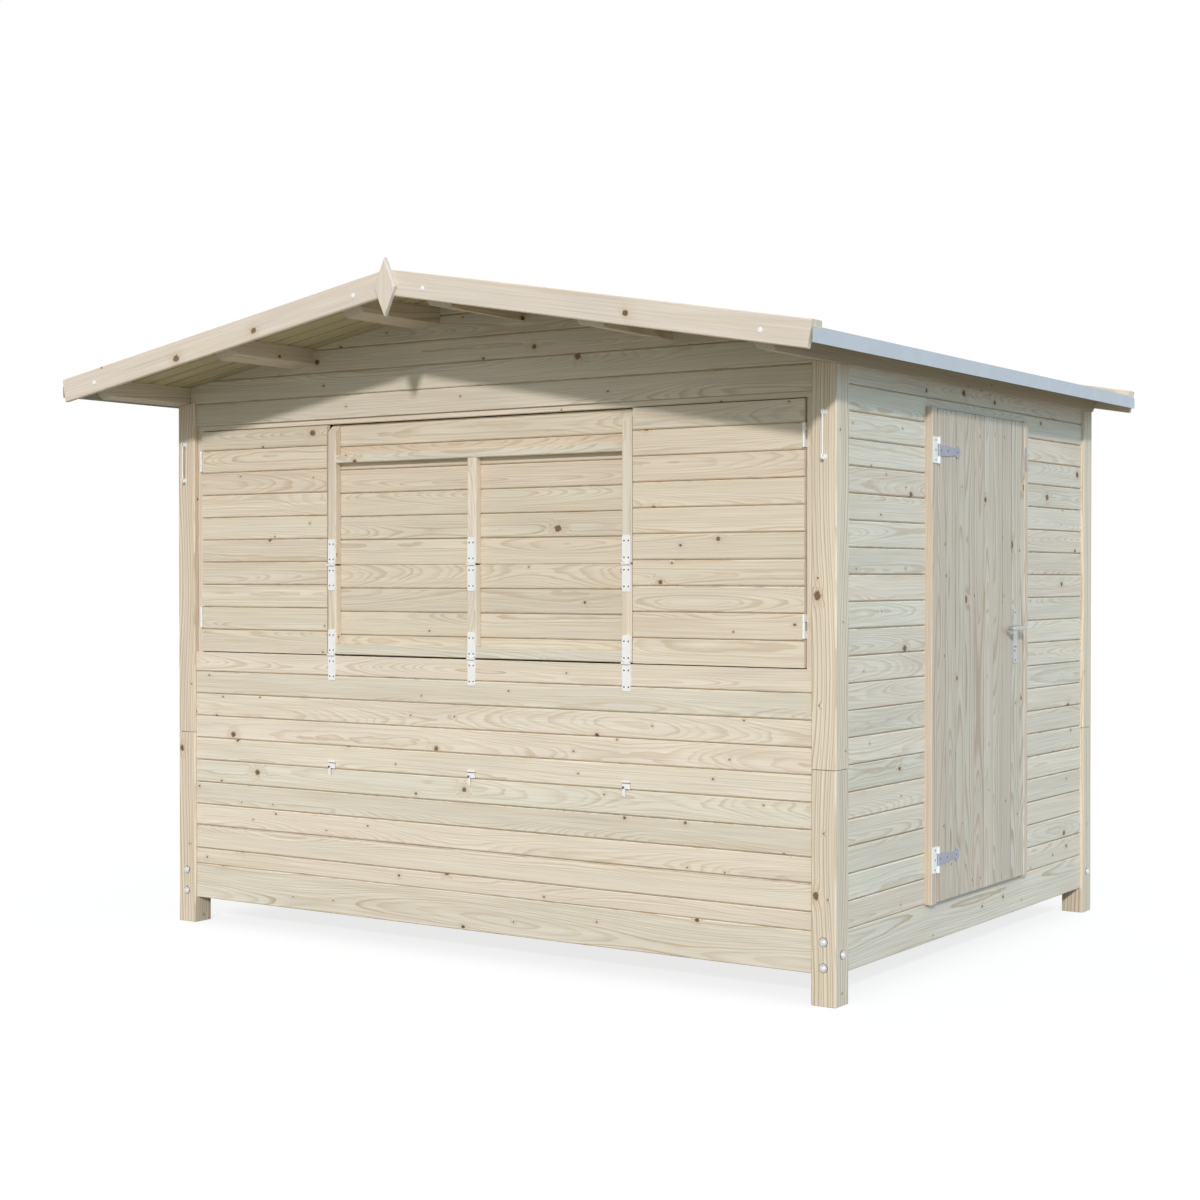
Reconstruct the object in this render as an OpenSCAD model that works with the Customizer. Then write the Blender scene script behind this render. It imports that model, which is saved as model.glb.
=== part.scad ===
// Wooden market hut with a serving hatch in its gable front and a ledged door in its right side.
// Millimetres. X runs along the front, Y from front to back, Z up from the ground.
// The origin is on the ground in the middle of the outline.

/* [Hut] */
// Width over the corner posts
hut_w = 2940; // [2800:10:3600]
// Depth over the corner posts
hut_d = 2280; // [2100:10:3000]
// Side of a square corner post
post_size = 90; // [80:1:110]
// Height of the butt joint between lower and upper posts
post_joint_z = 757; // [400:1:1000]
// Clear height under the base beams
foot_h = 100; // [40:1:140]

/* [Walls] */
// Thickness of the boards of walls, shutters and door
board_t = 20; // [16:1:24]
// Step of the wall boards behind the post faces
board_recess = 12; // [8:1:16]
// Height of a base beam
base_h = 135; // [90:1:160]
// Thickness of a base beam
base_t = 45; // [36:1:60]
// Cover width of a board of walls, shutters and roof, from joint to joint
board_cover = 88; // [70:1:120]
// Width and depth of the bevel on each side of a board joint
joint_bevel = 4; // [2:0.5:6]
// Height of the lowest board of the front wall
front_first = 62; // [30:1:120]
// Height of the lowest board of the side and rear walls
side_first = 91; // [30:1:120]

/* [Floor] */
// Thickness of the floor boards
floor_t = 22; // [18:1:28]
// Thickness of a floor bearer
bearer_t = 45; // [30:1:60]
// Number of floor bearers
bearer_count = 5; // [3:1:7]
// Cover width of a floor board
floor_cover = 120; // [90:1:160]
// Width and depth of the bevel on each side of a floor joint
floor_bevel = 1.5; // [1:0.5:3]

/* [Roof] */
// Pitch of the roof in degrees
pitch = 10; // [8:0.1:16]
// Overhang of the eaves beyond the posts
eave_over = 154; // [100:1:220]
// Overhang of the front barge boards before the posts
front_over = 455; // [300:1:520]
// Overhang of the rear barge boards behind the posts
rear_over = 71; // [60:1:140]
// Thickness of the roof boards
deck_t = 20; // [16:1:28]
// Width of the foremost roof board
deck_first = 50; // [30:1:120]
// Thickness of the roofing felt
felt_t = 4; // [2:0.5:6]
// Width of a ridge or middle purlin
purlin_w = 90; // [60:1:110]
// Height of the ridge and middle purlins
purlin_h = 58; // [45:1:80]
// Width of an eave purlin
eave_purlin_w = 60; // [45:1:80]
// Height of the eave purlins
eave_purlin_h = 62; // [50:1:80]
// Gap between sloping faces that rest on each other
seat_gap = 0.2; // [0.1:0.1:0.5]
// Cut at the lower corner of each purlin end
purlin_chamfer = 38; // [15:1:45]
// Middle of the ridge purlins from the middle of the hut
ridge_purlin_x = 190; // [130:1:240]
// Middle of the middle purlins from the middle of the hut
mid_purlin_x = 804; // [500:1:950]
// Depth of a barge board across its slope
barge_h = 88; // [70:1:110]
// Thickness of a barge board
barge_t = 18; // [14:1:24]
// Width of the edge batten on the roof behind a barge board
edge_w = 45; // [30:1:80]
// Thickness of the edge batten
edge_t = 25; // [18:1:32]
// Height of the metal drip strip on the eaves
drip_h = 48; // [30:1:60]
// Width of the top leg of the drip strip
drip_w = 60; // [30:1:90]
// Thickness of the drip strip
drip_t = 1.5; // [1:0.5:3]
// Height of the finial
finial_h = 200; // [140:1:260]
// Width of the finial
finial_w = 93; // [60:1:120]
// Thickness of the finial
finial_t = 18; // [12:1:24]
// Height of the finial's middle above the barge tops
finial_lift = -63; // [-80:1:-20]

/* [Hatch] */
// Height of the lower wall's top edge, where the counter is hinged
sill_z = 1080; // [900:1:1200]
// Height of the hatch opening
hatch_h = 872; // [800:1:900]
// Width of the jamb strips beside the opening
jamb_w = 28; // [20:1:40]
// Depth of the jamb and head strips
jamb_t = 45; // [30:1:60]
// Step of the jamb strips behind the wall boards
jamb_recess = 10; // [5:1:14]
// Height of the head strip over the opening
head_h = 20; // [15:1:40]
// Height of the gable boarding between the head strip and the wall tops
gable_band = 81; // [60:1:200]
// Width of the middle shutter
middle_w = 1376; // [1200:2:1600]
// Height of the fold above the lower wall's top edge
fold_h = 340; // [280:1:400]
// Width of the outside battens
batten_w = 40; // [30:1:50]
// Depth of the outside battens
batten_t = 30; // [20:1:36]
// Step of the outer battens inside the shutter's edges
batten_in = 2; // [2:1:60]
// Middle of the cross batten below the shutter's top edge
cross_drop = 124; // [90:1:200]
// Height of the cross batten
cross_h = 31; // [24:1:40]
// Upper ends of the outer battens below the shutter's top edge
batten_drop = 40; // [20:1:60]
// Gap round moving shutters and door
move_gap = 6; // [5:0.5:8]
// Gap between the wings and the middle shutter
middle_gap = 8; // [7:0.5:10]
// Open joint where one batten or ledge meets another
joint_gap = 0.5; // [0.3:0.1:1]
// Width of a ledge behind the wings and the door
ledge_w = 90; // [60:1:110]
// Thickness of a ledge
ledge_t = 20; // [16:1:24]
// Distance of the wing ledges from the wing edges
wing_ledge_in = 60; // [40:1:100]
// Height of the lowest board of the wings
wing_first = 85; // [30:1:120]
// Height of the lowest board of the counter
counter_first = 73; // [30:1:120]
// Height of the lowest board of the prop leaf
prop_first = 91; // [30:1:120]

/* [Door] */
// Front edge of the door frame from the front post faces
door_front = 691; // [400:1:800]
// Width over the door frame
door_w = 869; // [760:1:950]
// Height of the boarding between the door frame and the wall tops
header_h = 87; // [60:1:200]
// Width of the front door stile
front_stile_w = 42; // [40:1:60]
// Width of the rear door stile
rear_stile_w = 36; // [30:1:50]
// Step of the door face in front of the wall boards
door_proud = 26; // [22:1:32]
// Distance of the door ledges from the leaf's ends
door_ledge_in = 110; // [60:1:200]
// Width of the sloping brace between the ledges
brace_w = 80; // [50:1:100]
// Cover width of a door board
door_cover = 84.5; // [60:0.5:110]
// Width of the door board at the hinges
door_first = 67; // [30:1:110]

/* [Hardware] */
// Thickness of hinge leaves and plates
plate_t = 3; // [2:0.5:4]
// Outer diameter of hinge knuckles
knuckle_d = 10; // [9:0.5:12]
// Diameter of hinge pins
pin_d = 5; // [4:0.5:6]
// Radial play between pin and knuckle
pin_play = 0.4; // [0.3:0.1:0.6]
// Gap between neighbouring knuckles
knuckle_gap = 1; // [0.6:0.1:1.5]
// Width of a strap hinge leaf
strap_w = 34; // [30:1:40]
// Length of a strap hinge leaf
strap_l = 90; // [70:1:100]
// Length of a wing hinge
wing_hinge_l = 79; // [60:1:90]
// Middle of the lower wing hinges above the lower wall's top edge
wing_hinge_low = 135; // [80:1:200]
// Middle of the upper wing hinges below the top of the opening
wing_hinge_drop = 121; // [80:1:200]
// Height of a door hinge plate
tee_plate_h = 92; // [80:1:110]
// Width of a door hinge plate
tee_plate_w = 34; // [28:1:38]
// Length of a door hinge strap
tee_strap_l = 184; // [140:1:220]
// Height of a door hinge strap at its root
tee_strap_h = 42; // [36:1:50]
// Height of the waist of a door hinge strap
tee_waist_h = 24; // [16:1:32]
// Size of the taper along the root of a door hinge strap
tee_taper = 4; // [2:0.5:8]
// Middle of the lower door hinge above the base beams
tee_rise = 155; // [100:1:400]
// Middle of the upper door hinge below the top of the door frame
tee_drop = 151; // [110:1:400]
// Height of the door lever
lever_z = 1184; // [1000:1:1300]
// Distance of the door lever from the leaf's free edge
lever_in = 88; // [50:1:120]
// Length of the door lever
lever_l = 112; // [90:1:130]
// Diameter of the door lever
lever_d = 16; // [12:1:20]
// Stand-off of the door lever from its plate
lever_out = 42; // [32:1:55]
// Turned-back end of the door lever
lever_return = 20; // [12:1:28]
// Distance of the keyhole below the lever
keyhole_drop = 80; // [60:1:90]
// Diameter of the keyhole rose
keyhole_d = 22; // [18:1:28]
// Height of the handle plate
handle_h = 203; // [160:1:230]
// Width of the handle plate
handle_w = 42; // [34:1:50]
// Height of the lever above the middle of the handle plate
handle_shift = 33; // [10:1:50]
// Upper end of the cabin hooks below the wall tops
cabin_drop = 153; // [100:1:250]
// Length of a cabin hook
cabin_l = 143; // [100:1:180]
// Diameter of the cabin hook rods
cabin_d = 6; // [5:0.5:8]
// Middle diameter of the cabin hook eyes
cabin_eye_d = 14; // [12:1:18]
// Diameter of the washers under the cabin hook eyes
cabin_washer_d = 18; // [14:1:24]
// Stand-off of the cabin hook rods from the posts
cabin_out = 16; // [12:1:20]
// Distance of the cabin hooks from the outer post faces
cabin_in = 42; // [30:1:50]
// Middle of the turn hooks below the lower wall's top edge
turn_drop = 430; // [380:1:520]
// Height of a turn hook plate
turn_h = 58; // [40:1:70]
// Width of a turn hook plate
turn_w = 28; // [20:1:36]
// Reach of a turn hook from the wall
turn_out = 16; // [12:1:18]
// Diameter of the pivot of a turn hook
turn_pivot_d = 10; // [8:1:14]
// Length of the tongue of a turn hook
turn_tongue_l = 30; // [22:1:36]
// Width of the tongue of a turn hook
turn_tongue_w = 8; // [6:1:12]
// Length by which a cutting body reaches past the piece it cuts
cut_over = 1; // [0.5:0.5:2]

/* [Hidden] */
$fn = 32;

wood = "#dccdb0";
shaded_wood = "#c9bda3";
zinc = "#d7dade";
drip_metal = "#b4bfc9";
felt_grey = "#4a4d50";

// Outline in plan: the finial is the foremost point, the rear barge boards the last
total_d = finial_t + front_over + hut_d + rear_over;
front_y = -total_d / 2 + finial_t + front_over;
back_y = front_y + hut_d;
half_w = hut_w / 2;
inner_x = half_w - post_size;
eave_x = half_w + eave_over;
barge_y = front_y - front_over;
barge_back_y = back_y + rear_over;
deck_front_y = barge_y + barge_t;
deck_back_y = barge_back_y - barge_t;
deck_l = deck_back_y - deck_front_y;

// Heights
base_top_z = foot_h + base_h;
head_z = sill_z + hatch_h;
gable_z = head_z + head_h;
wall_top_z = gable_z + gable_band;
fold_z = sill_z + fold_h;
eave_under_z = wall_top_z + eave_purlin_h;
deck_rise = deck_t / cos(pitch);
edge_rise = edge_t / cos(pitch);

// Planes of the front, the side and the door
front_face_y = front_y + board_recess;
front_in_y = front_face_y + board_t;
side_face_x = half_w - board_recess;
side_in_x = side_face_x - board_t;
door_face_x = side_face_x + door_proud;
knuckle_r = knuckle_d / 2;
front_knuckle_y = front_face_y - knuckle_r;

// Shutters of the hatch
jamb_x = inner_x - jamb_w;
wing_out_x = jamb_x - move_gap;
wing_in_x = middle_w / 2 + middle_gap;
wing_w = wing_out_x - wing_in_x;
wing_low_z = sill_z + move_gap / 2;
wing_top_z = head_z - move_gap;
wing_h = wing_top_z - wing_low_z;
counter_h = fold_h - move_gap;
prop_low_z = fold_z + move_gap / 2;
prop_swing = pow(batten_t + board_t + knuckle_r, 2) / (2 * (hatch_h - fold_h));
prop_top_z = head_z - move_gap - prop_swing;
prop_h = prop_top_z - prop_low_z;
panel_y = front_face_y + batten_t;
batten_x = middle_w / 2 - batten_in - batten_w / 2;
batten_xs = [-batten_x, 0, batten_x];
wing_hinge_zs = [sill_z + wing_hinge_low, head_z - wing_hinge_drop];
wing_pivot_x = jamb_x - move_gap / 2;

// Door
door_top_z = wall_top_z - header_h;
door_y = front_y + door_front;
door_end_y = door_y + door_w;
leaf_y = door_y + front_stile_w + move_gap;
leaf_end_y = door_end_y - rear_stile_w - move_gap;
leaf_w = leaf_end_y - leaf_y;
leaf_z = base_top_z + move_gap;
leaf_h = door_top_z - move_gap - leaf_z;
door_pivot_y = leaf_y - move_gap / 2;
door_pivot_x = door_face_x + knuckle_r;
tee_zs = [base_top_z + tee_rise, door_top_z - tee_drop];
lever_y = leaf_end_y - lever_in;
handle_z = lever_z - handle_shift;

// Underside of the roof boards at a distance x from the middle of the hut
function under_z(x) = eave_under_z + (half_w - x) * tan(pitch);

// Seat of the roof boards on the purlins and gables
function seat_z(x) = under_z(x) - seat_gap;
// Seat of the eave purlins on the posts and side walls, cut to the pitch
function eave_seat_z(x) = under_z(x) - eave_purlin_h;

// A plain box between two corners
module block(low, high) {
  translate(low)
    cube(high - low);
}

// The shape and its mirror image on the left side
module both_sides() {
  children();
  mirror([1, 0, 0])
    children();
}

// An outline in X and Z, extruded to the back from y
module across(y, depth) {
  translate([0, y + depth, 0])
    rotate([90, 0, 0])
      linear_extrude(depth)
        children();
}

// Places of the board joints between two edges, the first one a given way from the low edge
function joints(low, high, first, cover) =
  [for (place = low + first; place < high - 2 * joint_bevel; place = place + cover) place];

// Edge line of boards along the second axis at a face, with a V notch of the given depth at each joint
function notched(face, depth, low, high, places) = concat(
  [[face, low]],
  [for (place = places, step = [-1, 0, 1]) [face + (1 - abs(step)) * depth, place + step * abs(depth)]],
  [[face, high]]);

// Level boards before the plane of the front: from x to end_x, their faces at y
module front_boards(x, end_x, y, low, high, first) {
  translate([x, 0, 0])
    rotate([90, 0, 90])
      linear_extrude(end_x - x)
        polygon(concat(notched(y, joint_bevel, low, high, joints(low, high, first, board_cover)),
                       [[y + board_t, high], [y + board_t, low]]));
}

// Sloping strip of the right roof side, from low to high above the roof boards' underside
module slope_strip(low, high) {
  polygon([[0, under_z(0) + low], [eave_x, under_z(eave_x) + low],
           [eave_x, under_z(eave_x) + high], [0, under_z(0) + high]]);
}

// One corner post piece between two heights
module post(x, y, low, high) {
  color(wood)
    block([x - post_size / 2, y - post_size / 2, low], [x + post_size / 2, y + post_size / 2, high]);
}

post_x = half_w - post_size / 2;
post_front_y = front_y + post_size / 2;
post_back_y = back_y - post_size / 2;

module lower_posts() {
  for (x = [-post_x, post_x], y = [post_front_y, post_back_y])
    post(x, y, 0, post_joint_z);
}

// The upper pieces have their tops cut to the pitch of the roof
module upper_posts() {
  color(wood)
    both_sides()
      for (y = [front_y, back_y - post_size])
        across(y, post_size)
          polygon([[inner_x, post_joint_z], [half_w, post_joint_z],
                   [half_w, eave_seat_z(half_w)], [inner_x, eave_seat_z(inner_x)]]);
}

// Base beams stand between the posts, flush with the wall boards
module end_base_beams() {
  color(wood)
    for (y = [front_face_y, back_y - board_recess - base_t])
      block([-inner_x, y, foot_h], [inner_x, y + base_t, base_top_z]);
}

module side_base_beams() {
  color(wood)
    both_sides()
      block([side_face_x - base_t, front_y + post_size, foot_h],
            [side_face_x, back_y - post_size, base_top_z]);
}

// Floor: bearers run from the front beam to the rear beam and carry the boards
floor_x = side_face_x - base_t;
floor_y = front_face_y + base_t;
floor_end_y = back_y - board_recess - base_t;
bearer_reach = 2 * (inner_x - bearer_t);

module floor_bearers() {
  color(shaded_wood)
    for (i = [0 : bearer_count - 1])
      translate([-inner_x + bearer_t / 2 + i * bearer_reach / (bearer_count - 1), floor_y, foot_h])
        cube([bearer_t, floor_end_y - floor_y, base_h - floor_t]);
}

module floor_boards() {
  color(shaded_wood)
    difference() {
      block([-floor_x, floor_y, base_top_z - floor_t], [floor_x, floor_end_y, base_top_z]);
      for (x = [-post_x, post_x], y = [post_front_y, post_back_y])
        translate([x, y, base_top_z])
          cube([post_size, post_size, 2 * floor_t + 2 * cut_over], center = true);
      for (y = joints(front_y + post_size, back_y - post_size, floor_cover, floor_cover))
        translate([-half_w, y, base_top_z])
          rotate([45, 0, 0])
            translate([0, -floor_bevel / sqrt(2), -floor_bevel / sqrt(2)])
              cube([hut_w, floor_bevel * sqrt(2), floor_bevel * sqrt(2)]);
    }
}

// Walls of horizontal boards between the posts
module front_lower_wall() {
  color(wood)
    front_boards(-inner_x, inner_x, front_face_y, base_top_z, sill_z - move_gap / 2, front_first);
}

// Upper outline of a gable, over the post tops, with notches for the purlins
module gable_outline(low) {
  eave_x_in = half_w - eave_purlin_w;
  difference() {
    both_sides()
      polygon([[0, low], [inner_x, low], [inner_x, eave_seat_z(inner_x) + seat_gap],
               [eave_x_in, eave_seat_z(eave_x_in) + seat_gap], [eave_x_in, seat_z(eave_x_in)],
               [0, seat_z(0)]]);
    both_sides()
      for (x = [ridge_purlin_x, mid_purlin_x])
        purlin_section(x, purlin_w, purlin_h + seat_gap, purlin_h);
  }
}

module front_gable() {
  color(wood)
    intersection() {
      across(front_face_y - cut_over, board_t + 2 * cut_over)
        gable_outline(gable_z);
      front_boards(-half_w, half_w, front_face_y, gable_z - cut_over, barge_top_z, board_cover + cut_over);
    }
}

module rear_wall() {
  color(wood)
    intersection() {
      across(back_y - board_recess - board_t - cut_over, board_t + 2 * cut_over)
        gable_outline(base_top_z);
      translate([0, back_y - board_recess, 0])
        mirror([0, 1, 0])
          front_boards(-half_w, half_w, 0, base_top_z - cut_over, barge_top_z, side_first + cut_over);
    }
}

// A stretch of the right wall between two places along the depth, from a height up to the eave purlin
module side_wall(y, end_y, low, first) {
  color(wood)
    across(y, end_y - y)
      polygon(concat(notched(side_face_x, -joint_bevel, low, eave_seat_z(side_face_x),
                             joints(low, wall_top_z, first, board_cover)),
                     [[side_in_x, eave_seat_z(side_in_x)], [side_in_x, low]]));
}

module left_wall() {
  mirror([1, 0, 0])
    side_wall(front_y + post_size, back_y - post_size, base_top_z, side_first);
}

module right_front_wall() {
  side_wall(front_y + post_size, door_y, base_top_z, side_first);
}

module right_rear_wall() {
  side_wall(door_end_y, back_y - post_size, base_top_z, side_first);
}

// The joint of the header goes on from the joints beside the door
header_rows = ceil((door_top_z + 2 * joint_bevel - base_top_z - side_first) / board_cover);
header_first = base_top_z + side_first + header_rows * board_cover - door_top_z;

module door_header() {
  side_wall(door_y, door_end_y, door_top_z, header_first);
}

// Strips round the serving hatch, a little behind the wall boards
jamb_y = front_face_y + jamb_recess;

module hatch_jambs() {
  color(wood)
    both_sides()
      block([jamb_x, jamb_y, sill_z - move_gap / 2], [inner_x, jamb_y + jamb_t, head_z]);
}

module hatch_head() {
  color(wood)
    block([-inner_x, jamb_y, head_z], [inner_x, jamb_y + jamb_t, gable_z]);
}

// Stiles of the door frame stand proud of the wall boards
module door_stiles() {
  color(wood)
    for (span = [[door_y, door_y + front_stile_w], [door_end_y - rear_stile_w, door_end_y]])
      block([side_in_x, span[0], base_top_z], [door_face_x, span[1], door_top_z]);
}

// Section of a purlin with its middle at x: plumb sides, top and bottom cut to the pitch
module purlin_section(x, width, height, above) {
  low_x = x - width / 2;
  high_x = x + width / 2;
  polygon([[low_x, under_z(low_x) - height], [high_x, under_z(high_x) - height],
           [high_x, under_z(high_x) + above], [low_x, under_z(low_x) + above]]);
}

// Purlins under the roof boards, with cut lower end corners
module purlin(x, width, height) {
  low = under_z(x) - height;
  top = under_z(x) + height;
  intersection() {
    across(deck_front_y, deck_l)
      purlin_section(x, width, height - seat_gap, -seat_gap);
    translate([x - width / 2 - cut_over, 0, 0])
      rotate([90, 0, 90])
        linear_extrude(width + 2 * cut_over)
          polygon([[deck_front_y, top], [deck_front_y, low + purlin_chamfer],
                   [deck_front_y + 2 * purlin_chamfer, low - purlin_chamfer],
                   [deck_back_y - 2 * purlin_chamfer, low - purlin_chamfer],
                   [deck_back_y, low + purlin_chamfer], [deck_back_y, top]]);
  }
}

module ridge_purlins() {
  color(shaded_wood)
    both_sides()
      purlin(ridge_purlin_x, purlin_w, purlin_h);
}

module middle_purlins() {
  color(shaded_wood)
    both_sides()
      purlin(mid_purlin_x, purlin_w, purlin_h);
}

module eave_purlins() {
  color(shaded_wood)
    both_sides()
      purlin(half_w - eave_purlin_w / 2, eave_purlin_w, eave_purlin_h);
}

// Roof boards and felt
module right_deck_side() {
  difference() {
    across(deck_front_y, deck_l)
      slope_strip(0, deck_rise);
    translate([0, 0, under_z(0)])
      rotate([0, 90 + pitch, 0])
        translate([0, 0, -deck_t])
          linear_extrude(eave_x / cos(pitch) + 2 * deck_t)
            for (y = joints(deck_front_y, deck_back_y, deck_first, board_cover))
              polygon([[cut_over, y - joint_bevel - cut_over], [cut_over, y + joint_bevel + cut_over],
                       [-joint_bevel, y]]);
  }
}

module right_felt_side() {
  across(deck_front_y + edge_w, deck_l - 2 * edge_w)
    slope_strip(deck_rise, deck_rise + felt_t);
}

module right_roof_deck() {
  color(shaded_wood)
    right_deck_side();
}

module left_roof_deck() {
  color(shaded_wood)
    mirror([1, 0, 0])
      right_deck_side();
}

module right_roof_felt() {
  color(felt_grey)
    right_felt_side();
}

module left_roof_felt() {
  color(felt_grey)
    mirror([1, 0, 0])
      right_felt_side();
}

// Metal drip strips: an upright leg on the eave edge and a top leg on the felt
drip_top_z = under_z(eave_x) + deck_rise;

module drip_strips() {
  color(drip_metal)
    both_sides() {
      block([eave_x, deck_front_y, drip_top_z - drip_h], [eave_x + drip_t, deck_back_y, drip_top_z]);
      across(deck_front_y + edge_w, deck_l - 2 * edge_w)
        polygon([[eave_x, drip_top_z - drip_h], [eave_x + drip_t, drip_top_z - drip_h],
                 [eave_x + drip_t, drip_top_z + felt_t + drip_t],
                 [eave_x, drip_top_z + felt_t + drip_t],
                 [eave_x - drip_w, under_z(eave_x - drip_w) + deck_rise + felt_t + drip_t],
                 [eave_x - drip_w, under_z(eave_x - drip_w) + deck_rise + felt_t],
                 [eave_x, drip_top_z + felt_t]]);
    }
}

// Barge boards, mitred at the ridge and cut square to the slope at the eaves
barge_rise = deck_rise + edge_rise;
barge_top_z = under_z(0) + barge_rise;

module barge_outline() {
  polygon([[0, barge_top_z], [eave_x, under_z(eave_x) + barge_rise],
           [eave_x - barge_h * sin(pitch), under_z(eave_x) + barge_rise - barge_h * cos(pitch)],
           [0, barge_top_z - barge_h / cos(pitch)]]);
}

module right_barges() {
  color(wood)
    for (y = [barge_y, deck_back_y])
      across(y, barge_t)
        barge_outline();
}

module right_barge_boards() {
  right_barges();
}

module left_barge_boards() {
  mirror([1, 0, 0])
    right_barges();
}

// Battens on the roof boards, level with the tops of the barge boards
module right_edges() {
  color(wood)
    for (y = [deck_front_y, deck_back_y - edge_w])
      across(y, edge_w)
        slope_strip(deck_rise, deck_rise + edge_rise);
}

module right_edge_battens() {
  right_edges();
}

module left_edge_battens() {
  mirror([1, 0, 0])
    right_edges();
}

// Rhombus that covers the mitre of the front barge boards
module finial() {
  mid_z = barge_top_z + finial_lift;
  color(wood)
    across(barge_y - finial_t, finial_t)
      polygon([[0, mid_z - finial_h / 2], [finial_w / 2, mid_z],
               [0, mid_z + finial_h / 2], [-finial_w / 2, mid_z]]);
}

// Rounded plate in X and Z, standing on the plane y, grown to the front
module rounded_plate(width, height, thick, radius) {
  rotate([90, 0, 0])
    linear_extrude(thick) {
      square([width, height - 2 * radius], center = true);
      square([width - 2 * radius, height], center = true);
      for (x = [-1, 1], z = [-1, 1])
        translate([x * (width / 2 - radius), z * (height / 2 - radius)])
          circle(radius);
    }
}

// The two end barrels of a hinge and their pin, along Z
module pin_knuckles(length, middle) {
  side = (length - middle) / 2 - knuckle_gap;
  cylinder(d = pin_d, h = length, center = true);
  for (z = [-1, 1])
    translate([0, 0, z * (length - side) / 2])
      cylinder(d = knuckle_d, h = side, center = true);
}

// Leaf of a strap hinge on the front plane: dir 1 points up from the axis, -1 down
strap_middle = strap_w / 3;
strap_corner = 6;
leaf_gap = knuckle_r + knuckle_gap;

module strap_leaf(dir) {
  translate([0, knuckle_r, dir * (leaf_gap + strap_l / 2)])
    rounded_plate(strap_w, strap_l, plate_t, strap_corner);
}

// Ends of a strap hinge with the pin, and their tongues to the leaf
module strap_pin_half(dir) {
  strap_leaf(dir);
  rotate([0, 90, 0])
    pin_knuckles(strap_w, strap_middle);
  side = (strap_w - strap_middle) / 2 - knuckle_gap;
  for (x = [-1, 1])
    translate([x * (strap_w - side) / 2, knuckle_r - plate_t / 2, dir * leaf_gap])
      cube([side, plate_t, 2 * leaf_gap], center = true);
}

// Middle of a strap hinge that turns on the pin
module strap_turning_half(dir) {
  strap_leaf(dir);
  difference() {
    union() {
      rotate([0, 90, 0])
        cylinder(d = knuckle_d, h = strap_middle, center = true);
      translate([0, knuckle_r - plate_t / 2, dir * leaf_gap])
        cube([strap_middle, plate_t, 2 * leaf_gap], center = true);
    }
    rotate([0, 90, 0])
      cylinder(d = pin_d + 2 * pin_play, h = strap_w, center = true);
  }
}

// Wing hinges: leaves lie in the gap between the wing and the jamb strip
wing_middle = wing_hinge_l / 3;
wing_leaf_t = move_gap / 4;
wing_leaf_d = knuckle_r + board_t;

module wing_fixed_leaf() {
  pin_knuckles(wing_hinge_l, wing_middle);
  side = (wing_hinge_l - wing_middle) / 2 - knuckle_gap;
  for (z = [-1, 1])
    translate([0, 0, z * (wing_hinge_l - side) / 2])
      block([0, 0, -side / 2], [move_gap / 2, jamb_y - front_knuckle_y + wing_leaf_d, side / 2]);
}

module wing_turning_leaf() {
  difference() {
    union() {
      cylinder(d = knuckle_d, h = wing_middle, center = true);
      block([-move_gap / 2, 0, -wing_middle / 2],
            [-move_gap / 2 + wing_leaf_t, wing_leaf_d, wing_middle / 2]);
    }
    cylinder(d = pin_d + 2 * pin_play, h = wing_hinge_l, center = true);
  }
}

// Door hinges: plates on the front stile, straps on the leaf
tee_middle = tee_strap_h;
tee_tongue = leaf_gap;
tee_end_r = tee_strap_h / 2;
tee_root_l = tee_strap_l / 2;

module tee_plate() {
  translate([-knuckle_r, 0, 0])
    rotate([0, 0, 90])
      translate([-tee_tongue - tee_plate_w / 2, 0, 0])
        rounded_plate(tee_plate_w, tee_plate_h, plate_t, strap_corner / 2);
  pin_knuckles(tee_plate_h, tee_middle);
  side = (tee_plate_h - tee_middle) / 2 - knuckle_gap;
  for (z = [-1, 1])
    translate([0, 0, z * (tee_plate_h - side) / 2])
      block([-knuckle_r, -tee_tongue - strap_corner, -side / 2], [-knuckle_r + plate_t, 0, side / 2]);
}

// Outline of a door hinge strap: a root, a waist and a round end
module tee_strap_outline() {
  polygon([[0, -tee_strap_h / 2], [tee_root_l, -tee_strap_h / 2 + tee_taper],
           [tee_strap_l - 2 * tee_end_r, -tee_waist_h / 2], [tee_strap_l - tee_end_r, -tee_waist_h / 2],
           [tee_strap_l - tee_end_r, tee_waist_h / 2], [tee_strap_l - 2 * tee_end_r, tee_waist_h / 2],
           [tee_root_l, tee_strap_h / 2 - tee_taper], [0, tee_strap_h / 2]]);
  translate([tee_strap_l - tee_end_r, 0])
    circle(tee_end_r);
}

module tee_strap() {
  difference() {
    union() {
      cylinder(d = knuckle_d, h = tee_middle, center = true);
      translate([-knuckle_r, 0, 0])
        rotate([90, 0, 90])
          linear_extrude(plate_t)
            tee_strap_outline();
    }
    cylinder(d = pin_d + 2 * pin_play, h = tee_plate_h, center = true);
  }
}

// Hinge leaves that stay on the hut
module fixed_hinge_leaves() {
  color(zinc) {
    for (x = batten_xs)
      translate([x, front_knuckle_y, sill_z])
        strap_pin_half(-1);
    both_sides()
      for (z = wing_hinge_zs)
        translate([wing_pivot_x, front_knuckle_y, z])
          wing_fixed_leaf();
    for (z = tee_zs)
      translate([door_pivot_x, door_pivot_y, z])
        tee_plate();
  }
}

// Cabin hooks on the front posts: a rod between two ring eyes, each on a shank with a washer
cabin_ring_y = front_y - cabin_out;
cabin_shank_l = cabin_out - cabin_eye_d / 2;

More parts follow.
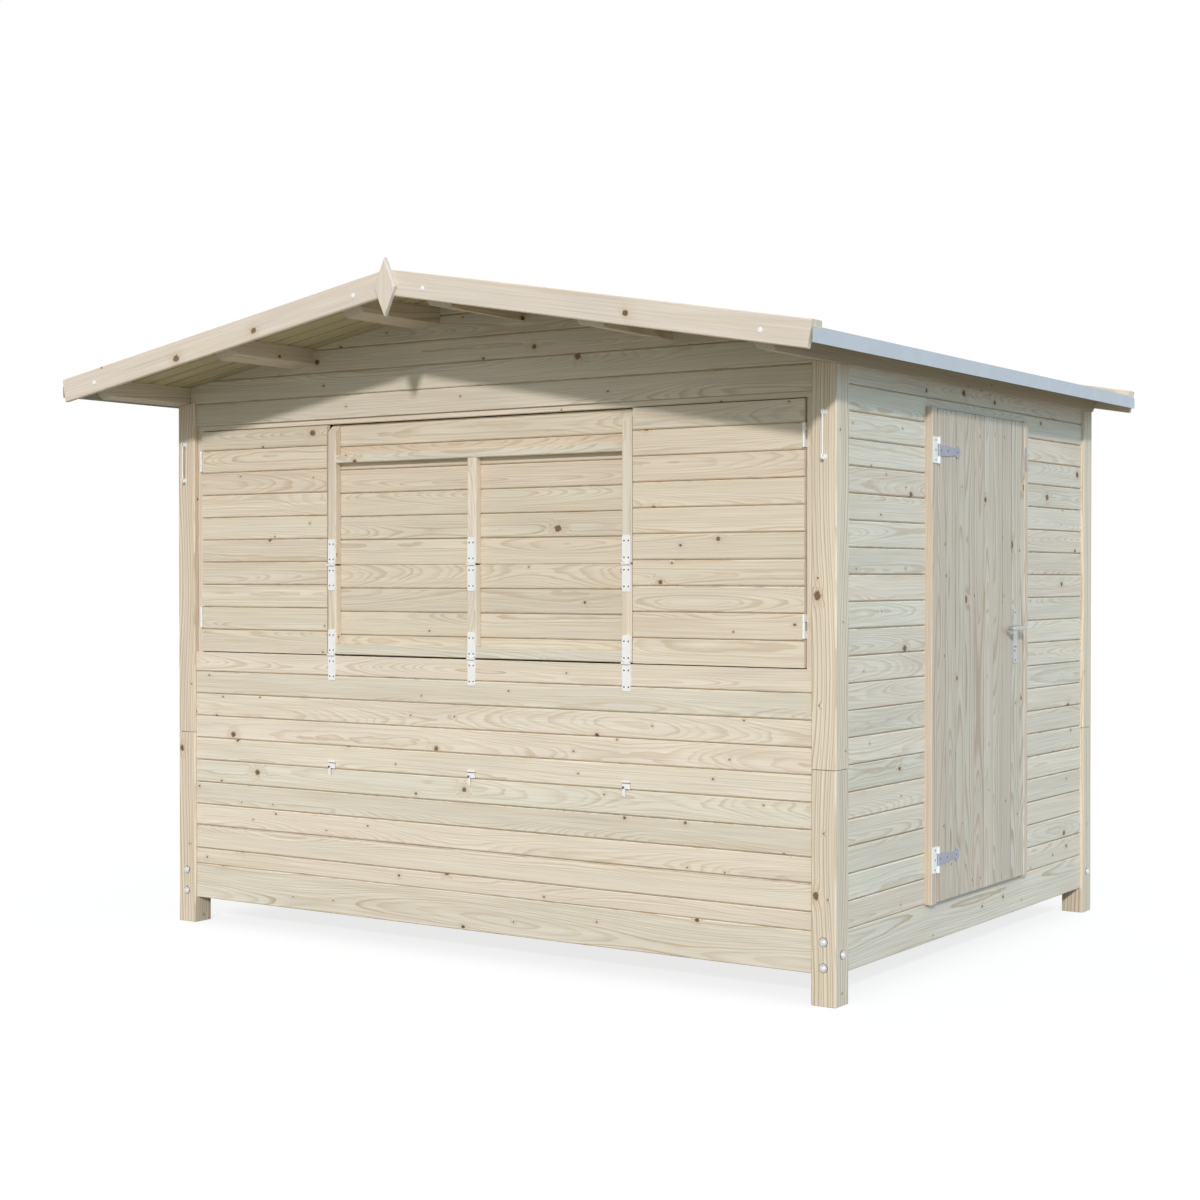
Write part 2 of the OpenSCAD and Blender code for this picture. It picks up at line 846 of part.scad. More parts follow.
module cabin_eye() {
  rotate([90, 0, 0]) {
    cylinder(d = cabin_d, h = cabin_shank_l);
    cylinder(d = cabin_washer_d, h = cabin_d / 2);
  }
  translate([0, -cabin_out, 0])
    rotate([0, 90, 0])
      rotate_extrude()
        translate([cabin_eye_d / 2, 0])
          circle(d = cabin_d);
}

module cabin_hook() {
  top = wall_top_z - cabin_drop;
  rod_l = cabin_l - cabin_eye_d;
  translate([half_w - cabin_in, cabin_ring_y, top - cabin_eye_d / 2 - rod_l])
    cylinder(d = cabin_d, h = rod_l);
  for (z = [top, top - cabin_l])
    translate([half_w - cabin_in, front_y, z])
      cabin_eye();
}

module cabin_hooks() {
  color(zinc)
    both_sides()
      cabin_hook();
}

// Turn hooks on the lower wall: a plate, a pivot stud and a turning tongue with round ends
turn_tongue_t = turn_out - 2 * plate_t;

module turn_hook() {
  rounded_plate(turn_w, turn_h, plate_t, strap_corner / 2);
  rotate([90, 0, 0])
    cylinder(d = turn_pivot_d, h = turn_out);
  translate([0, -turn_out + turn_tongue_t, turn_tongue_l / 2])
    rounded_plate(turn_tongue_w, turn_tongue_l, turn_tongue_t, turn_tongue_w / 3);
}

module turn_hooks() {
  color(zinc)
    for (x = batten_xs)
      translate([x, front_face_y, sill_z - turn_drop])
        turn_hook();
}

// Door leaf of upright boards with two ledges and a sloping brace behind
module door_leaf() {
  color(wood)
    translate([0, 0, leaf_z])
      linear_extrude(leaf_h)
        polygon(concat(notched(door_face_x, -joint_bevel, leaf_y, leaf_end_y,
                               joints(leaf_y, leaf_end_y, door_first, door_cover)),
                       [[door_face_x - board_t, leaf_end_y], [door_face_x - board_t, leaf_y]]));
}

module door_ledges() {
  low = leaf_z + door_ledge_in;
  high = leaf_z + leaf_h - door_ledge_in - ledge_w;
  brace_low = low + ledge_w + joint_gap;
  brace_high = high - joint_gap;
  first = leaf_y + move_gap;
  last = leaf_end_y - move_gap;
  color(shaded_wood)
    translate([door_face_x - board_t - ledge_t, 0, 0])
      rotate([90, 0, 90])
        linear_extrude(ledge_t) {
          for (z = [low, high])
            translate([first, z])
              square([last - first, ledge_w]);
          polygon([[first, brace_low], [first + brace_w, brace_low],
                   [last, brace_high], [last - brace_w, brace_high]]);
        }
}

module door_hinge_straps() {
  color(zinc)
    for (z = tee_zs)
      translate([door_pivot_x, door_pivot_y, z])
        tee_strap();
}

// Handle: a long plate, a lever whose end turns back to the leaf, and a keyhole rose
module door_lever() {
  rotate([0, 90, 0])
    cylinder(d = lever_d, h = lever_out);
  translate([lever_out, 0, 0]) {
    sphere(d = lever_d);
    rotate([90, 0, 0])
      cylinder(d = lever_d, h = lever_l);
    translate([0, -lever_l, 0]) {
      sphere(d = lever_d);
      rotate([0, -90, 0])
        cylinder(d = lever_d, h = lever_return);
    }
  }
}

module door_handle() {
  color(zinc)
    translate([door_face_x, lever_y, 0]) {
      translate([0, 0, handle_z])
        rotate([0, 0, 90])
          rounded_plate(handle_w, handle_h, plate_t, strap_corner);
      translate([0, 0, lever_z])
        door_lever();
      translate([0, 0, lever_z - keyhole_drop])
        rotate([0, 90, 0])
          cylinder(d = keyhole_d, h = 2 * plate_t);
    }
}

// Side wings of the hatch: boards outside, two upright ledges inside
module right_wing_panel() {
  color(wood)
    front_boards(wing_in_x, wing_out_x, front_face_y, wing_low_z, wing_top_z, wing_first);
}

module right_wing_backs() {
  color(shaded_wood)
    for (x = [wing_in_x + wing_ledge_in, wing_out_x - wing_ledge_in - ledge_w])
      translate([x, front_in_y, wing_low_z + wing_ledge_in])
        cube([ledge_w, ledge_t, wing_h - 2 * wing_ledge_in]);
}

module right_wing_pivots() {
  color(zinc)
    for (z = wing_hinge_zs)
      translate([wing_pivot_x, front_knuckle_y, z])
        wing_turning_leaf();
}

module right_wing_boards() {
  right_wing_panel();
}

module right_wing_ledges() {
  right_wing_backs();
}

module right_wing_hinges() {
  right_wing_pivots();
}

module left_wing_boards() {
  mirror([1, 0, 0])
    right_wing_panel();
}

module left_wing_ledges() {
  mirror([1, 0, 0])
    right_wing_backs();
}

module left_wing_hinges() {
  mirror([1, 0, 0])
    right_wing_pivots();
}

// Middle shutter, lower leaf: it folds down and becomes the counter
module counter_boards() {
  color(wood)
    front_boards(-middle_w / 2, middle_w / 2, panel_y, wing_low_z, wing_low_z + counter_h, counter_first);
}

module counter_battens() {
  color(wood)
    across(front_face_y, batten_t) {
      translate([-middle_w / 2, wing_low_z])
        square([middle_w, batten_w]);
      for (x = batten_xs)
        translate([x - batten_w / 2, wing_low_z + batten_w + joint_gap])
          square([batten_w, counter_h - batten_w - joint_gap]);
    }
}

module counter_hinges() {
  color(zinc)
    for (x = batten_xs) {
      translate([x, front_knuckle_y, sill_z])
        strap_turning_half(1);
      translate([x, front_knuckle_y, fold_z])
        strap_pin_half(-1);
    }
}

// Middle shutter, upper leaf: it folds under the counter and props it
module prop_boards() {
  color(wood)
    front_boards(-middle_w / 2, middle_w / 2, panel_y, prop_low_z, prop_top_z, prop_first);
}

module prop_battens() {
  cross_reach = batten_x - batten_w / 2 - joint_gap;
  cross_z = prop_top_z - cross_drop - cross_h / 2;
  color(wood)
    across(front_face_y, batten_t) {
      for (x = [-batten_x, batten_x])
        translate([x - batten_w / 2, prop_low_z])
          square([batten_w, prop_h - batten_drop]);
      translate([-batten_w / 2, prop_low_z])
        square([batten_w, cross_z - joint_gap - prop_low_z]);
      translate([-cross_reach, cross_z])
        square([2 * cross_reach, cross_h]);
    }
}

module prop_hinges() {
  color(zinc)
    for (x = batten_xs)
      translate([x, front_knuckle_y, fold_z])
        strap_turning_half(1);
}

lower_posts();
upper_posts();
end_base_beams();
side_base_beams();
floor_bearers();
floor_boards();
front_lower_wall();
front_gable();
rear_wall();
left_wall();
right_front_wall();
right_rear_wall();
door_header();
hatch_jambs();
hatch_head();
door_stiles();
ridge_purlins();
middle_purlins();
eave_purlins();
left_roof_deck();
right_roof_deck();
left_roof_felt();
right_roof_felt();
drip_strips();
left_barge_boards();
right_barge_boards();
left_edge_battens();
right_edge_battens();
finial();
fixed_hinge_leaves();
cabin_hooks();
turn_hooks();
door_leaf();
door_ledges();
door_hinge_straps();
door_handle();
left_wing_boards();
left_wing_ledges();
left_wing_hinges();
right_wing_boards();
right_wing_ledges();
right_wing_hinges();
counter_boards();
counter_battens();
counter_hinges();
prop_boards();
prop_battens();
prop_hinges();
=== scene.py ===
import math
import random

import bmesh
import bpy
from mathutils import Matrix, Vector


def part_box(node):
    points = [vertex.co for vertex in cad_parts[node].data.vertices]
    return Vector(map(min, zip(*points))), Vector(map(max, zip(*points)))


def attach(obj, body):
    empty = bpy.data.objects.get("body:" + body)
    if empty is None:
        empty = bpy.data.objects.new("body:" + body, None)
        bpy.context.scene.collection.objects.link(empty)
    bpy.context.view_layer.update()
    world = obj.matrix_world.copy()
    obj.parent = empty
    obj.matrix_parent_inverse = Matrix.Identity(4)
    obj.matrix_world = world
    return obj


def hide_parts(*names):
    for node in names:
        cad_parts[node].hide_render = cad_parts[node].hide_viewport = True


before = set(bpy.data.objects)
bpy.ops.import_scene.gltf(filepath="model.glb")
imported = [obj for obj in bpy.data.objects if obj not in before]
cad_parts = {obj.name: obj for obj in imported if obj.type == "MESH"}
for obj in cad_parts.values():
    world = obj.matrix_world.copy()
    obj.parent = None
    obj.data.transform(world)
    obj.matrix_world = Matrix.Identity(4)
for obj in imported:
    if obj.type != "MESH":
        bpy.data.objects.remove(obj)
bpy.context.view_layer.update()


# Corner posts: planed square spruce, each in two lengths that butt at about hip height.
# The arrises are eased with a plane, and the lower lengths stand on the ground on bare end grain.
RIGHT = Vector((1, 0, 0))
BACK = Vector((0, 1, 0))
UP = Vector((0, 0, 1))
chance = random.Random(23)


def new_stack():
    return {"points": [], "faces": [], "grain": [], "tone": [], "knot_and_light": []}


def eased_section(width, thick, ease):
    """Outline of a planed timber: across its width from 0, and inward from its outer face at 0."""
    return [(ease, 0), (width - ease, 0), (width, -ease), (width, ease - thick),
            (width - ease, -thick), (ease, -thick), (0, ease - thick), (0, -ease)]


def add_bar(stack, origin, axes, section, start, end, ease=0.0, cuts=(), pith=None, joints=()):
    """Saws one length of timber. axes are along the grain, across the face and out of the face.
    start and end are distances along the grain, or a plane as (point, normal). Cuts take off what
    lies in front of a plane. Each bar gets its own piece of the tree: grain place, heart and tone.
    joints names the edges, -1 low and 1 high, that stand in a joint; the faces there are marked for
    painted shade, and bevel faces are marked for a painted highlight."""
    along, across, outward = axes
    low_v = min(v for v, w in section)
    high_v = max(v for v, w in section)
    low_w = min(w for v, w in section)
    high_w = max(w for v, w in section)
    shift = chance.uniform(0.0, 60.0)
    heart_side = chance.uniform(-0.05, 0.05)
    heart_depth = chance.uniform(0.03, 0.15)
    shade = (chance.uniform(-1.0, 1.0), chance.uniform(-1.0, 1.0), 0.0)
    if pith:
        heart_side, heart_depth = pith
    bar = bmesh.new()
    grain = bar.verts.layers.float_vector.new("grain")

    def ring(stop, inward, inset):
        corners = []
        for v, w in section:
            v = min(max(v, low_v + inset), high_v - inset)
            w = min(max(w, low_w + inset), high_w - inset)
            foot = origin + across * v + outward * w
            if isinstance(stop, tuple):
                u = (stop[0] - foot).dot(stop[1]) / along.dot(stop[1])
            else:
                u = stop
            u += inward
            corner = bar.verts.new(foot + along * u)
            corner[grain] = (u + shift, v - (low_v + high_v) / 2 + heart_side, w + heart_depth)
            corners.append(corner)
        return corners

    if ease:
        rings = [ring(start, 0, ease), ring(start, ease, 0), ring(end, -ease, 0), ring(end, 0, ease)]
    else:
        rings = [ring(start, 0, 0), ring(end, 0, 0)]
    count = len(section)
    for near, far in zip(rings, rings[1:]):
        for i in range(count):
            j = (i + 1) % count
            bar.faces.new((near[i], near[j], far[j], far[i]))
    bar.faces.new(rings[0][::-1])
    bar.faces.new(rings[-1])
    if ease:
        bmesh.ops.remove_doubles(bar, verts=bar.verts[:], dist=1e-6)
    for point, normal in cuts:
        everything = bar.verts[:] + bar.edges[:] + bar.faces[:]
        bmesh.ops.bisect_plane(bar, geom=everything, dist=1e-6, plane_co=point, plane_no=normal,
                               clear_outer=True)
        bmesh.ops.holes_fill(bar, edges=bar.edges[:], sides=0)
    bmesh.ops.recalc_face_normals(bar, faces=bar.faces[:])
    bar.verts.index_update()
    base = len(stack["points"])
    stack["points"] += [tuple(corner.co) for corner in bar.verts]
    stack["grain"] += [tuple(corner[grain]) for corner in bar.verts]
    stack["tone"] += [shade] * len(bar.verts)
    for face in bar.faces:
        stack["faces"].append([corner.index + base for corner in face.verts])
        lean = face.normal.dot(across)
        flat = abs(face.normal.dot(outward))
        sideways = abs(lean)
        # Bevel faces are marked for a painted highlight in the wood's finish.
        bevel = 1.0 if min(flat, sideways) > 0.5 else 0.0
        # Faces inside a joint are marked for painted shade in the wood's finish.
        in_joint_shade = any(lean * edge > 0.9 for edge in joints)
        for corner in face.verts:
            u, v, w = corner[grain]
            if in_joint_shade:
                stack["knot_and_light"].append((u, v, -1.0))
            elif flat > 0.5:
                stack["knot_and_light"].append((u, v, 1.0 + bevel))
            elif sideways > 0.5:
                stack["knot_and_light"].append((u + 17.3, w + 3.1, 1.0))
            else:
                stack["knot_and_light"].append((u, v, 0.0))
    bar.free()


def set_piece(stack, name, finish, body, slot, *nodes):
    """Makes the piece from its stack, gives it its finish and sets it in the frame."""
    mesh = bpy.data.meshes.new(name)
    mesh.from_pydata(stack["points"], [], stack["faces"])
    grain = mesh.attributes.new("grain", "FLOAT_VECTOR", "POINT")
    grain.data.foreach_set("vector", [number for place in stack["grain"] for number in place])
    tone = mesh.attributes.new("tone", "FLOAT_VECTOR", "POINT")
    tone.data.foreach_set("vector", [number for shade in stack["tone"] for number in shade])
    if stack["knot_and_light"]:
        knot_and_light = mesh.attributes.new("knot_and_light", "FLOAT_VECTOR", "CORNER")
        knot_and_light.data.foreach_set("vector", [number for place in stack["knot_and_light"] for number in place])
    mesh.materials.append(finish)
    piece = bpy.data.objects.new(name, mesh)
    bpy.context.scene.collection.objects.link(piece)
    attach(piece, body)
    if nodes:
        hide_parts(*nodes)
    return piece


def feed(tree, socket, value):
    if isinstance(value, bpy.types.NodeSocket):
        tree.links.new(value, socket)
    else:
        socket.default_value = value


def put(tree, kind, feeds=(), **settings):
    node = tree.nodes.new(kind)
    for key, value in settings.items():
        setattr(node, key, value)
    for socket, value in feeds:
        feed(tree, node.inputs[socket], value)
    return node


def calc(tree, operation, *values):
    node = put(tree, "ShaderNodeMath", enumerate(values), operation=operation)
    return node.outputs[0]


def ease_in(tree, value, low, high):
    """0 below low, 1 above high, smooth between."""
    feeds = [("Value", value), ("From Min", low), ("From Max", high)]
    return put(tree, "ShaderNodeMapRange", feeds, interpolation_type="SMOOTHSTEP").outputs["Result"]


def blend_colour(tree, share, first, second, way="MIX"):
    feeds = [(0, share), (6, first), (7, second)]
    return put(tree, "ShaderNodeMix", feeds, data_type="RGBA", blend_type=way).outputs[2]


def hypotenuse(tree, first, second):
    squares = [calc(tree, "MULTIPLY", leg, leg) for leg in (first, second)]
    return calc(tree, "SQRT", calc(tree, "ADD", *squares))


def stretched_noise(tree, place, scale, detail):
    """Noise on the grain place, stretched by a scale along, across and into the wood."""
    spot = put(tree, "ShaderNodeVectorMath", [(0, place), (1, scale)], operation="MULTIPLY").outputs[0]
    feeds = [("Vector", spot), ("Scale", 1.0), ("Detail", detail)]
    return put(tree, "ShaderNodeTexNoise", feeds).outputs["Fac"]


def line_noise(tree, value, factor, offset, detail=1.0):
    """Noise along one value."""
    spot = calc(tree, "MULTIPLY_ADD", value, factor, offset)
    feeds = [("W", spot), ("Scale", 1.0), ("Detail", detail)]
    return put(tree, "ShaderNodeTexNoise", feeds, noise_dimensions="1D").outputs["Fac"]


def new_group(name, inputs, outputs):
    """A shader group with named sockets, each a Float or a Color."""
    tree = bpy.data.node_groups.new(name, "ShaderNodeTree")
    for way, sockets in (("INPUT", inputs), ("OUTPUT", outputs)):
        for label, kind in sockets:
            tree.interface.new_socket(label, in_out=way, socket_type="NodeSocket" + kind)
    return tree, tree.nodes.new("NodeGroupInput").outputs, tree.nodes.new("NodeGroupOutput").inputs


def make_spruce_grain():
    """Growth rings round a wandering heart, fibres, streaks and knots, from each bar's grain place, with a
    painted highlight on the bevels and painted shade on the faces inside the joints.
    """
    tree, given, result = new_group(
        "spruce_grain",
        [("Ring Width", "Float"), ("Contrast", "Float"), ("Knots", "Float"),
         ("Early Wood", "Color"), ("Late Wood", "Color")],
        [("Color", "Color"), ("Roughness", "Float"), ("Height", "Float")])
    place = put(tree, "ShaderNodeAttribute", attribute_name="grain").outputs["Vector"]
    shade = put(tree, "ShaderNodeAttribute", attribute_name="tone").outputs["Vector"]
    branch = put(tree, "ShaderNodeAttribute", attribute_name="knot_and_light").outputs["Vector"]
    along, across, depth = put(tree, "ShaderNodeSeparateXYZ", [(0, place)]).outputs
    tone, tint = put(tree, "ShaderNodeSeparateXYZ", [(0, shade)]).outputs[:2]
    branch_u, branch_v, kind = put(tree, "ShaderNodeSeparateXYZ", [(0, branch)]).outputs

    # Knots: a branch end in some cells of an uneven grid on the face
    cell_u, cell_v = 5.0, 8.5
    knot_u = calc(tree, "MULTIPLY", branch_u, cell_u)
    knot_v = calc(tree, "MULTIPLY", branch_v, cell_v)
    spot = put(tree, "ShaderNodeCombineXYZ", [(0, knot_u), (1, knot_v)]).outputs[0]
    cells = put(tree, "ShaderNodeTexVoronoi", [("Vector", spot), ("Scale", 1.0)], voronoi_dimensions="2D")
    centre_u, centre_v = put(tree, "ShaderNodeSeparateXYZ", [(0, cells.outputs["Position"])]).outputs[:2]
    draw, size, dark = put(tree, "ShaderNodeSeparateColor", [(0, cells.outputs["Color"])]).outputs
    off_u = calc(tree, "DIVIDE", calc(tree, "SUBTRACT", knot_u, centre_u), cell_u * 1.25)
    off_v = calc(tree, "DIVIDE", calc(tree, "SUBTRACT", knot_v, centre_v), cell_v)
    drawn = calc(tree, "LESS_THAN", draw, given["Knots"])
    present = calc(tree, "MULTIPLY", drawn, calc(tree, "GREATER_THAN", kind, 0.5))
    radius = calc(tree, "MULTIPLY_ADD", calc(tree, "POWER", size, 4.0), 0.009, 0.0026)
    offset = hypotenuse(tree, off_u, off_v)
    ragged = stretched_noise(tree, branch, (90.0, 130.0, 0.0), 1.0)
    spread = calc(tree, "MULTIPLY", calc(tree, "DIVIDE", offset, radius), calc(tree, "ADD", ragged, 0.5))
    inside = calc(tree, "SUBTRACT", 1.0, ease_in(tree, spread, 0.72, 1.08))
    core = calc(tree, "MULTIPLY", inside, present)
    rim_band = calc(tree, "MULTIPLY", ease_in(tree, spread, 0.55, 0.9),
                    calc(tree, "SUBTRACT", 1.0, ease_in(tree, spread, 0.95, 1.3)))
    rim = calc(tree, "MULTIPLY", rim_band, present)
    fall = calc(tree, "EXPONENT", calc(tree, "MULTIPLY", calc(tree, "MULTIPLY", spread, spread), -0.14))
    halo = calc(tree, "MULTIPLY", fall, present)

    # Rings: distance from a heart that wanders along the bar, bent round the knots
    side = calc(tree, "MULTIPLY_ADD", line_noise(tree, along, 0.8, 3.0), 0.06, -0.03)
    sink = calc(tree, "MULTIPLY_ADD", line_noise(tree, along, 0.6, 41.0), 0.08, -0.04)
    ring_v = calc(tree, "ADD", across, side)
    ring_w = calc(tree, "ADD", depth, sink)
    wobble = stretched_noise(tree, place, (6.0, 34.0, 34.0), 2.0)
    wobble = calc(tree, "MULTIPLY_ADD", wobble, 0.004, -0.002)
    reach = calc(tree, "ADD", hypotenuse(tree, ring_v, ring_w), wobble)
    reach = calc(tree, "MULTIPLY_ADD", halo, 0.007, reach)
    years = calc(tree, "DIVIDE", reach, given["Ring Width"])
    years = calc(tree, "ADD", years, calc(tree, "MULTIPLY", line_noise(tree, years, 0.33, 7.0), 1.6))
    season = calc(tree, "FRACT", years)
    late = calc(tree, "MULTIPLY", ease_in(tree, season, 0.38, 0.9),
                calc(tree, "SUBTRACT", 1.0, ease_in(tree, season, 0.92, 1.0)))
    good_year = line_noise(tree, calc(tree, "FLOOR", years), 1.37, 0.4)
    figure = calc(tree, "MULTIPLY", late, calc(tree, "MULTIPLY_ADD", good_year, 1.5, -0.1))

    # Fibres, streaks and blotches
    fibre = stretched_noise(tree, place, (3.2, 190.0, 190.0), 2.0)
    streak = stretched_noise(tree, place, (1.3, 26.0, 26.0), 1.0)
    blotch = stretched_noise(tree, place, (2.0, 7.0, 7.0), 1.0)
    share = calc(tree, "MULTIPLY", figure, given["Contrast"])
    colour = blend_colour(tree, share, given["Early Wood"], given["Late Wood"])
    warm = calc(tree, "MULTIPLY", ease_in(tree, streak, 0.48, 0.8), 0.4)
    colour = blend_colour(tree, warm, colour, (0.67, 0.54, 0.385, 1))
    level = calc(tree, "MULTIPLY_ADD", tone, 0.045, 0.73)
    level = calc(tree, "MULTIPLY_ADD", fibre, 0.42, level)
    level = calc(tree, "MULTIPLY_ADD", blotch, 0.12, level)
    # Painted highlight: bevel faces are made a little lighter, standing in for the light that catches them.
    bevel = calc(tree, "GREATER_THAN", kind, 1.5)
    level = calc(tree, "MULTIPLY_ADD", bevel, 0.04, level)
    # Painted shade: faces inside the board joints are darkened, standing in for the shade in the narrow
    # gaps.
    slot = calc(tree, "LESS_THAN", kind, -0.5)
    level = calc(tree, "MULTIPLY", level, calc(tree, "MULTIPLY_ADD", slot, -0.72, 1.0))
    colour = put(tree, "ShaderNodeVectorMath", [(0, colour), ("Scale", level)], operation="SCALE").outputs[0]
    cool = calc(tree, "MULTIPLY_ADD", tint, 0.5, 0.5)
    cast = blend_colour(tree, cool, (1.02, 0.99, 0.98, 1), (0.98, 1.0, 1.005, 1))
    colour = blend_colour(tree, 1.0, colour, cast, "MULTIPLY")
    # The warm tint of the painted bevel highlight.
    colour = blend_colour(tree, bevel, colour, (1.02, 0.985, 0.93, 1), "MULTIPLY")
    colour = blend_colour(tree, calc(tree, "MULTIPLY", halo, 0.4), colour, (0.56, 0.38, 0.21, 1))
    heart = blend_colour(tree, dark, (0.19, 0.10, 0.052, 1), (0.05, 0.033, 0.022, 1))
    colour = blend_colour(tree, calc(tree, "MULTIPLY", core, 0.9), colour, heart)
    colour = blend_colour(tree, calc(tree, "MULTIPLY", rim, 0.6), colour, (0.16, 0.09, 0.05, 1))
    feed(tree, result["Color"], colour)
    rough = calc(tree, "MULTIPLY_ADD", fibre, 0.14, 0.56)
    feed(tree, result["Roughness"], calc(tree, "MULTIPLY_ADD", figure, -0.08, rough))
    height = calc(tree, "MULTIPLY_ADD", figure, 0.55, calc(tree, "MULTIPLY", fibre, 0.45))
    feed(tree, result["Height"], calc(tree, "MULTIPLY_ADD", core, 0.5, height))
    return tree


spruce_grain = make_spruce_grain()


def new_finish(name):
    finish = bpy.data.materials.new(name)
    finish.use_nodes = True
    return finish, finish.node_tree, finish.node_tree.nodes["Principled BSDF"]


def add_relief(tree, shader, height, strength, deep):
    relief = put(tree, "ShaderNodeBump", [("Height", height), ("Strength", strength), ("Distance", deep)])
    feed(tree, shader.inputs["Normal"], relief.outputs["Normal"])


def make_spruce(name, early, late, ring, contrast, knots, bump):
    """A spruce finish: the grain group into one plain shader."""
    finish, tree, shader = new_finish(name)
    feeds = [("Ring Width", ring), ("Contrast", contrast), ("Knots", knots),
             ("Early Wood", (*early, 1)), ("Late Wood", (*late, 1))]
    wood = put(tree, "ShaderNodeGroup", feeds, node_tree=spruce_grain)
    feed(tree, shader.inputs["Base Color"], wood.outputs["Color"])
    feed(tree, shader.inputs["Roughness"], wood.outputs["Roughness"])
    add_relief(tree, shader, wood.outputs["Height"], bump, 0.0008)
    shader.inputs["Specular IOR Level"].default_value = 0.3
    return finish


planed_spruce = make_spruce("planed_spruce", (0.80, 0.72, 0.59), (0.60, 0.475, 0.325),
                            ring=0.0026, contrast=0.9, knots=0.42, bump=0.35)
post_spruce = make_spruce("post_spruce", (0.80, 0.70, 0.55), (0.54, 0.415, 0.275),
                          ring=0.0070, contrast=1.25, knots=0.3, bump=0.4)
post_side = 0.09
post_ease = 0.004
post_end_ease = 0.0015
butt_gap = 0.0008
pitch = math.radians(10.0)
slope_cos = math.cos(pitch)
slope_sin = math.sin(pitch)


def down_roof(side):
    """Down the slope of the roof's left side (-1) or right side (1)."""
    return Vector((side * slope_cos, 0, -slope_sin))


def out_of_roof(side):
    """Square out of the roof's left side (-1) or right side (1)."""
    return Vector((side * slope_sin, 0, slope_cos))


lower_low, lower_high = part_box("lower_posts")
upper_low, upper_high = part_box("upper_posts")
lower_posts = new_stack()
upper_posts = new_stack()
for side in (-1, 1):
    post_top = (Vector((side * (upper_high.x - post_side), 0, upper_high.z)), out_of_roof(side))
    for y in (lower_low.y, lower_high.y - post_side):
        foot = Vector((side * (lower_high.x - post_side / 2) - post_side / 2, y, 0))
        axes = (UP, RIGHT, -BACK)
        section = eased_section(post_side, post_side, post_ease)
        pith = (chance.choice((-1, 1)) * chance.uniform(0.09, 0.14), chance.uniform(0.16, 0.2))
        add_bar(lower_posts, foot, axes, section, 0.0, lower_high.z - butt_gap, post_end_ease, pith=pith)
        add_bar(upper_posts, foot, axes, section, upper_low.z + butt_gap, post_top, post_end_ease, pith=pith)
set_piece(lower_posts, "corner_posts_low", post_spruce, "hut", "spruce", "lower_posts")
set_piece(upper_posts, "corner_posts_high", post_spruce, "hut", "spruce", "upper_posts")


# Base beams: deep planks on edge between the post feet, flush with the wall boards above them.
# They carry the bearers of the floor and are held by dome-headed bolts through the posts.
beam_spruce = make_spruce("beam_spruce", (0.815, 0.73, 0.60), (0.60, 0.475, 0.325),
                          ring=0.0058, contrast=1.0, knots=0.35, bump=0.35)
beam_thick = 0.045
beam_ease = 0.003
low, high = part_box("end_base_beams")
beams = new_stack()
section = eased_section(high.z - low.z, beam_thick, beam_ease)
add_bar(beams, low, (RIGHT, UP, -BACK), section, 0.0, high.x - low.x, pith=(0.03, 0.055))
add_bar(beams, Vector((low.x, high.y, low.z)), (RIGHT, UP, BACK), section, 0.0, high.x - low.x,
        pith=(-0.07, 0.11))
set_piece(beams, "base_beams_ends", beam_spruce, "hut", "spruce", "end_base_beams")
low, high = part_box("side_base_beams")
beams = new_stack()
section = eased_section(high.z - low.z, beam_thick, beam_ease)
add_bar(beams, low, (BACK, UP, -RIGHT), section, 0.0, high.y - low.y, pith=(0.08, 0.1))
add_bar(beams, Vector((high.x, low.y, low.z)), (BACK, UP, RIGHT), section, 0.0, high.y - low.y,
        pith=(-0.035, 0.06))
set_piece(beams, "base_beams_sides", beam_spruce, "hut", "spruce", "side_base_beams")


# Floor: sawn bearers from the front beam to the rear beam, with tongued boards nailed across them.
# The boards at the front and the rear are cut short where the posts stand.
rough_spruce = make_spruce("rough_spruce", (0.70, 0.60, 0.45), (0.52, 0.39, 0.25),
                           ring=0.0052, contrast=0.7, knots=0.6, bump=0.6)
board_arris = 0.001
slimmest_board = 0.012
bevel_play = 0.0006
face_play = 0.0004
tongue_front = 0.008
tongue_back = 0.014
tongue_reach = 0.005
tongue_play = 0.0005


def board_section(width, thick, bevel, slot, low_edge, high_edge):
    """Outline of a tongued and grooved board with bevelled face edges. An edge is joint or sawn."""
    half = slot / 2
    low_v, low_bevel = (half, bevel) if low_edge == "joint" else (0.0, board_arris)
    high_v, high_bevel = (width - half, bevel) if high_edge == "joint" else (width, board_arris)
    outline = [(low_v + low_bevel, 0), (high_v - high_bevel, 0), (high_v, -high_bevel)]
    if high_edge == "joint":
        tip = high_v + tongue_reach
        outline += [(high_v, -tongue_front), (tip, -tongue_front),
                    (tip, -tongue_back), (high_v, -tongue_back)]
    outline += [(high_v, board_arris - thick), (high_v - board_arris, -thick),
                (low_v + board_arris, -thick), (low_v, board_arris - thick)]
    if low_edge == "joint":
        deep = low_v + tongue_reach + 2 * tongue_play
        outline += [(low_v, -tongue_back - tongue_play), (deep, -tongue_back - tongue_play),
                    (deep, tongue_play - tongue_front), (low_v, tongue_play - tongue_front)]
    return outline + [(low_v, -low_bevel)]


def joint_lines(low, high, first, cover):
    """Places of the board edges between two limits, with joints a cover width apart."""
    lines = [low]
    while first < high - slimmest_board:
        if first > low + slimmest_board:
            lines.append(first)
        first += cover
    return lines + [high]


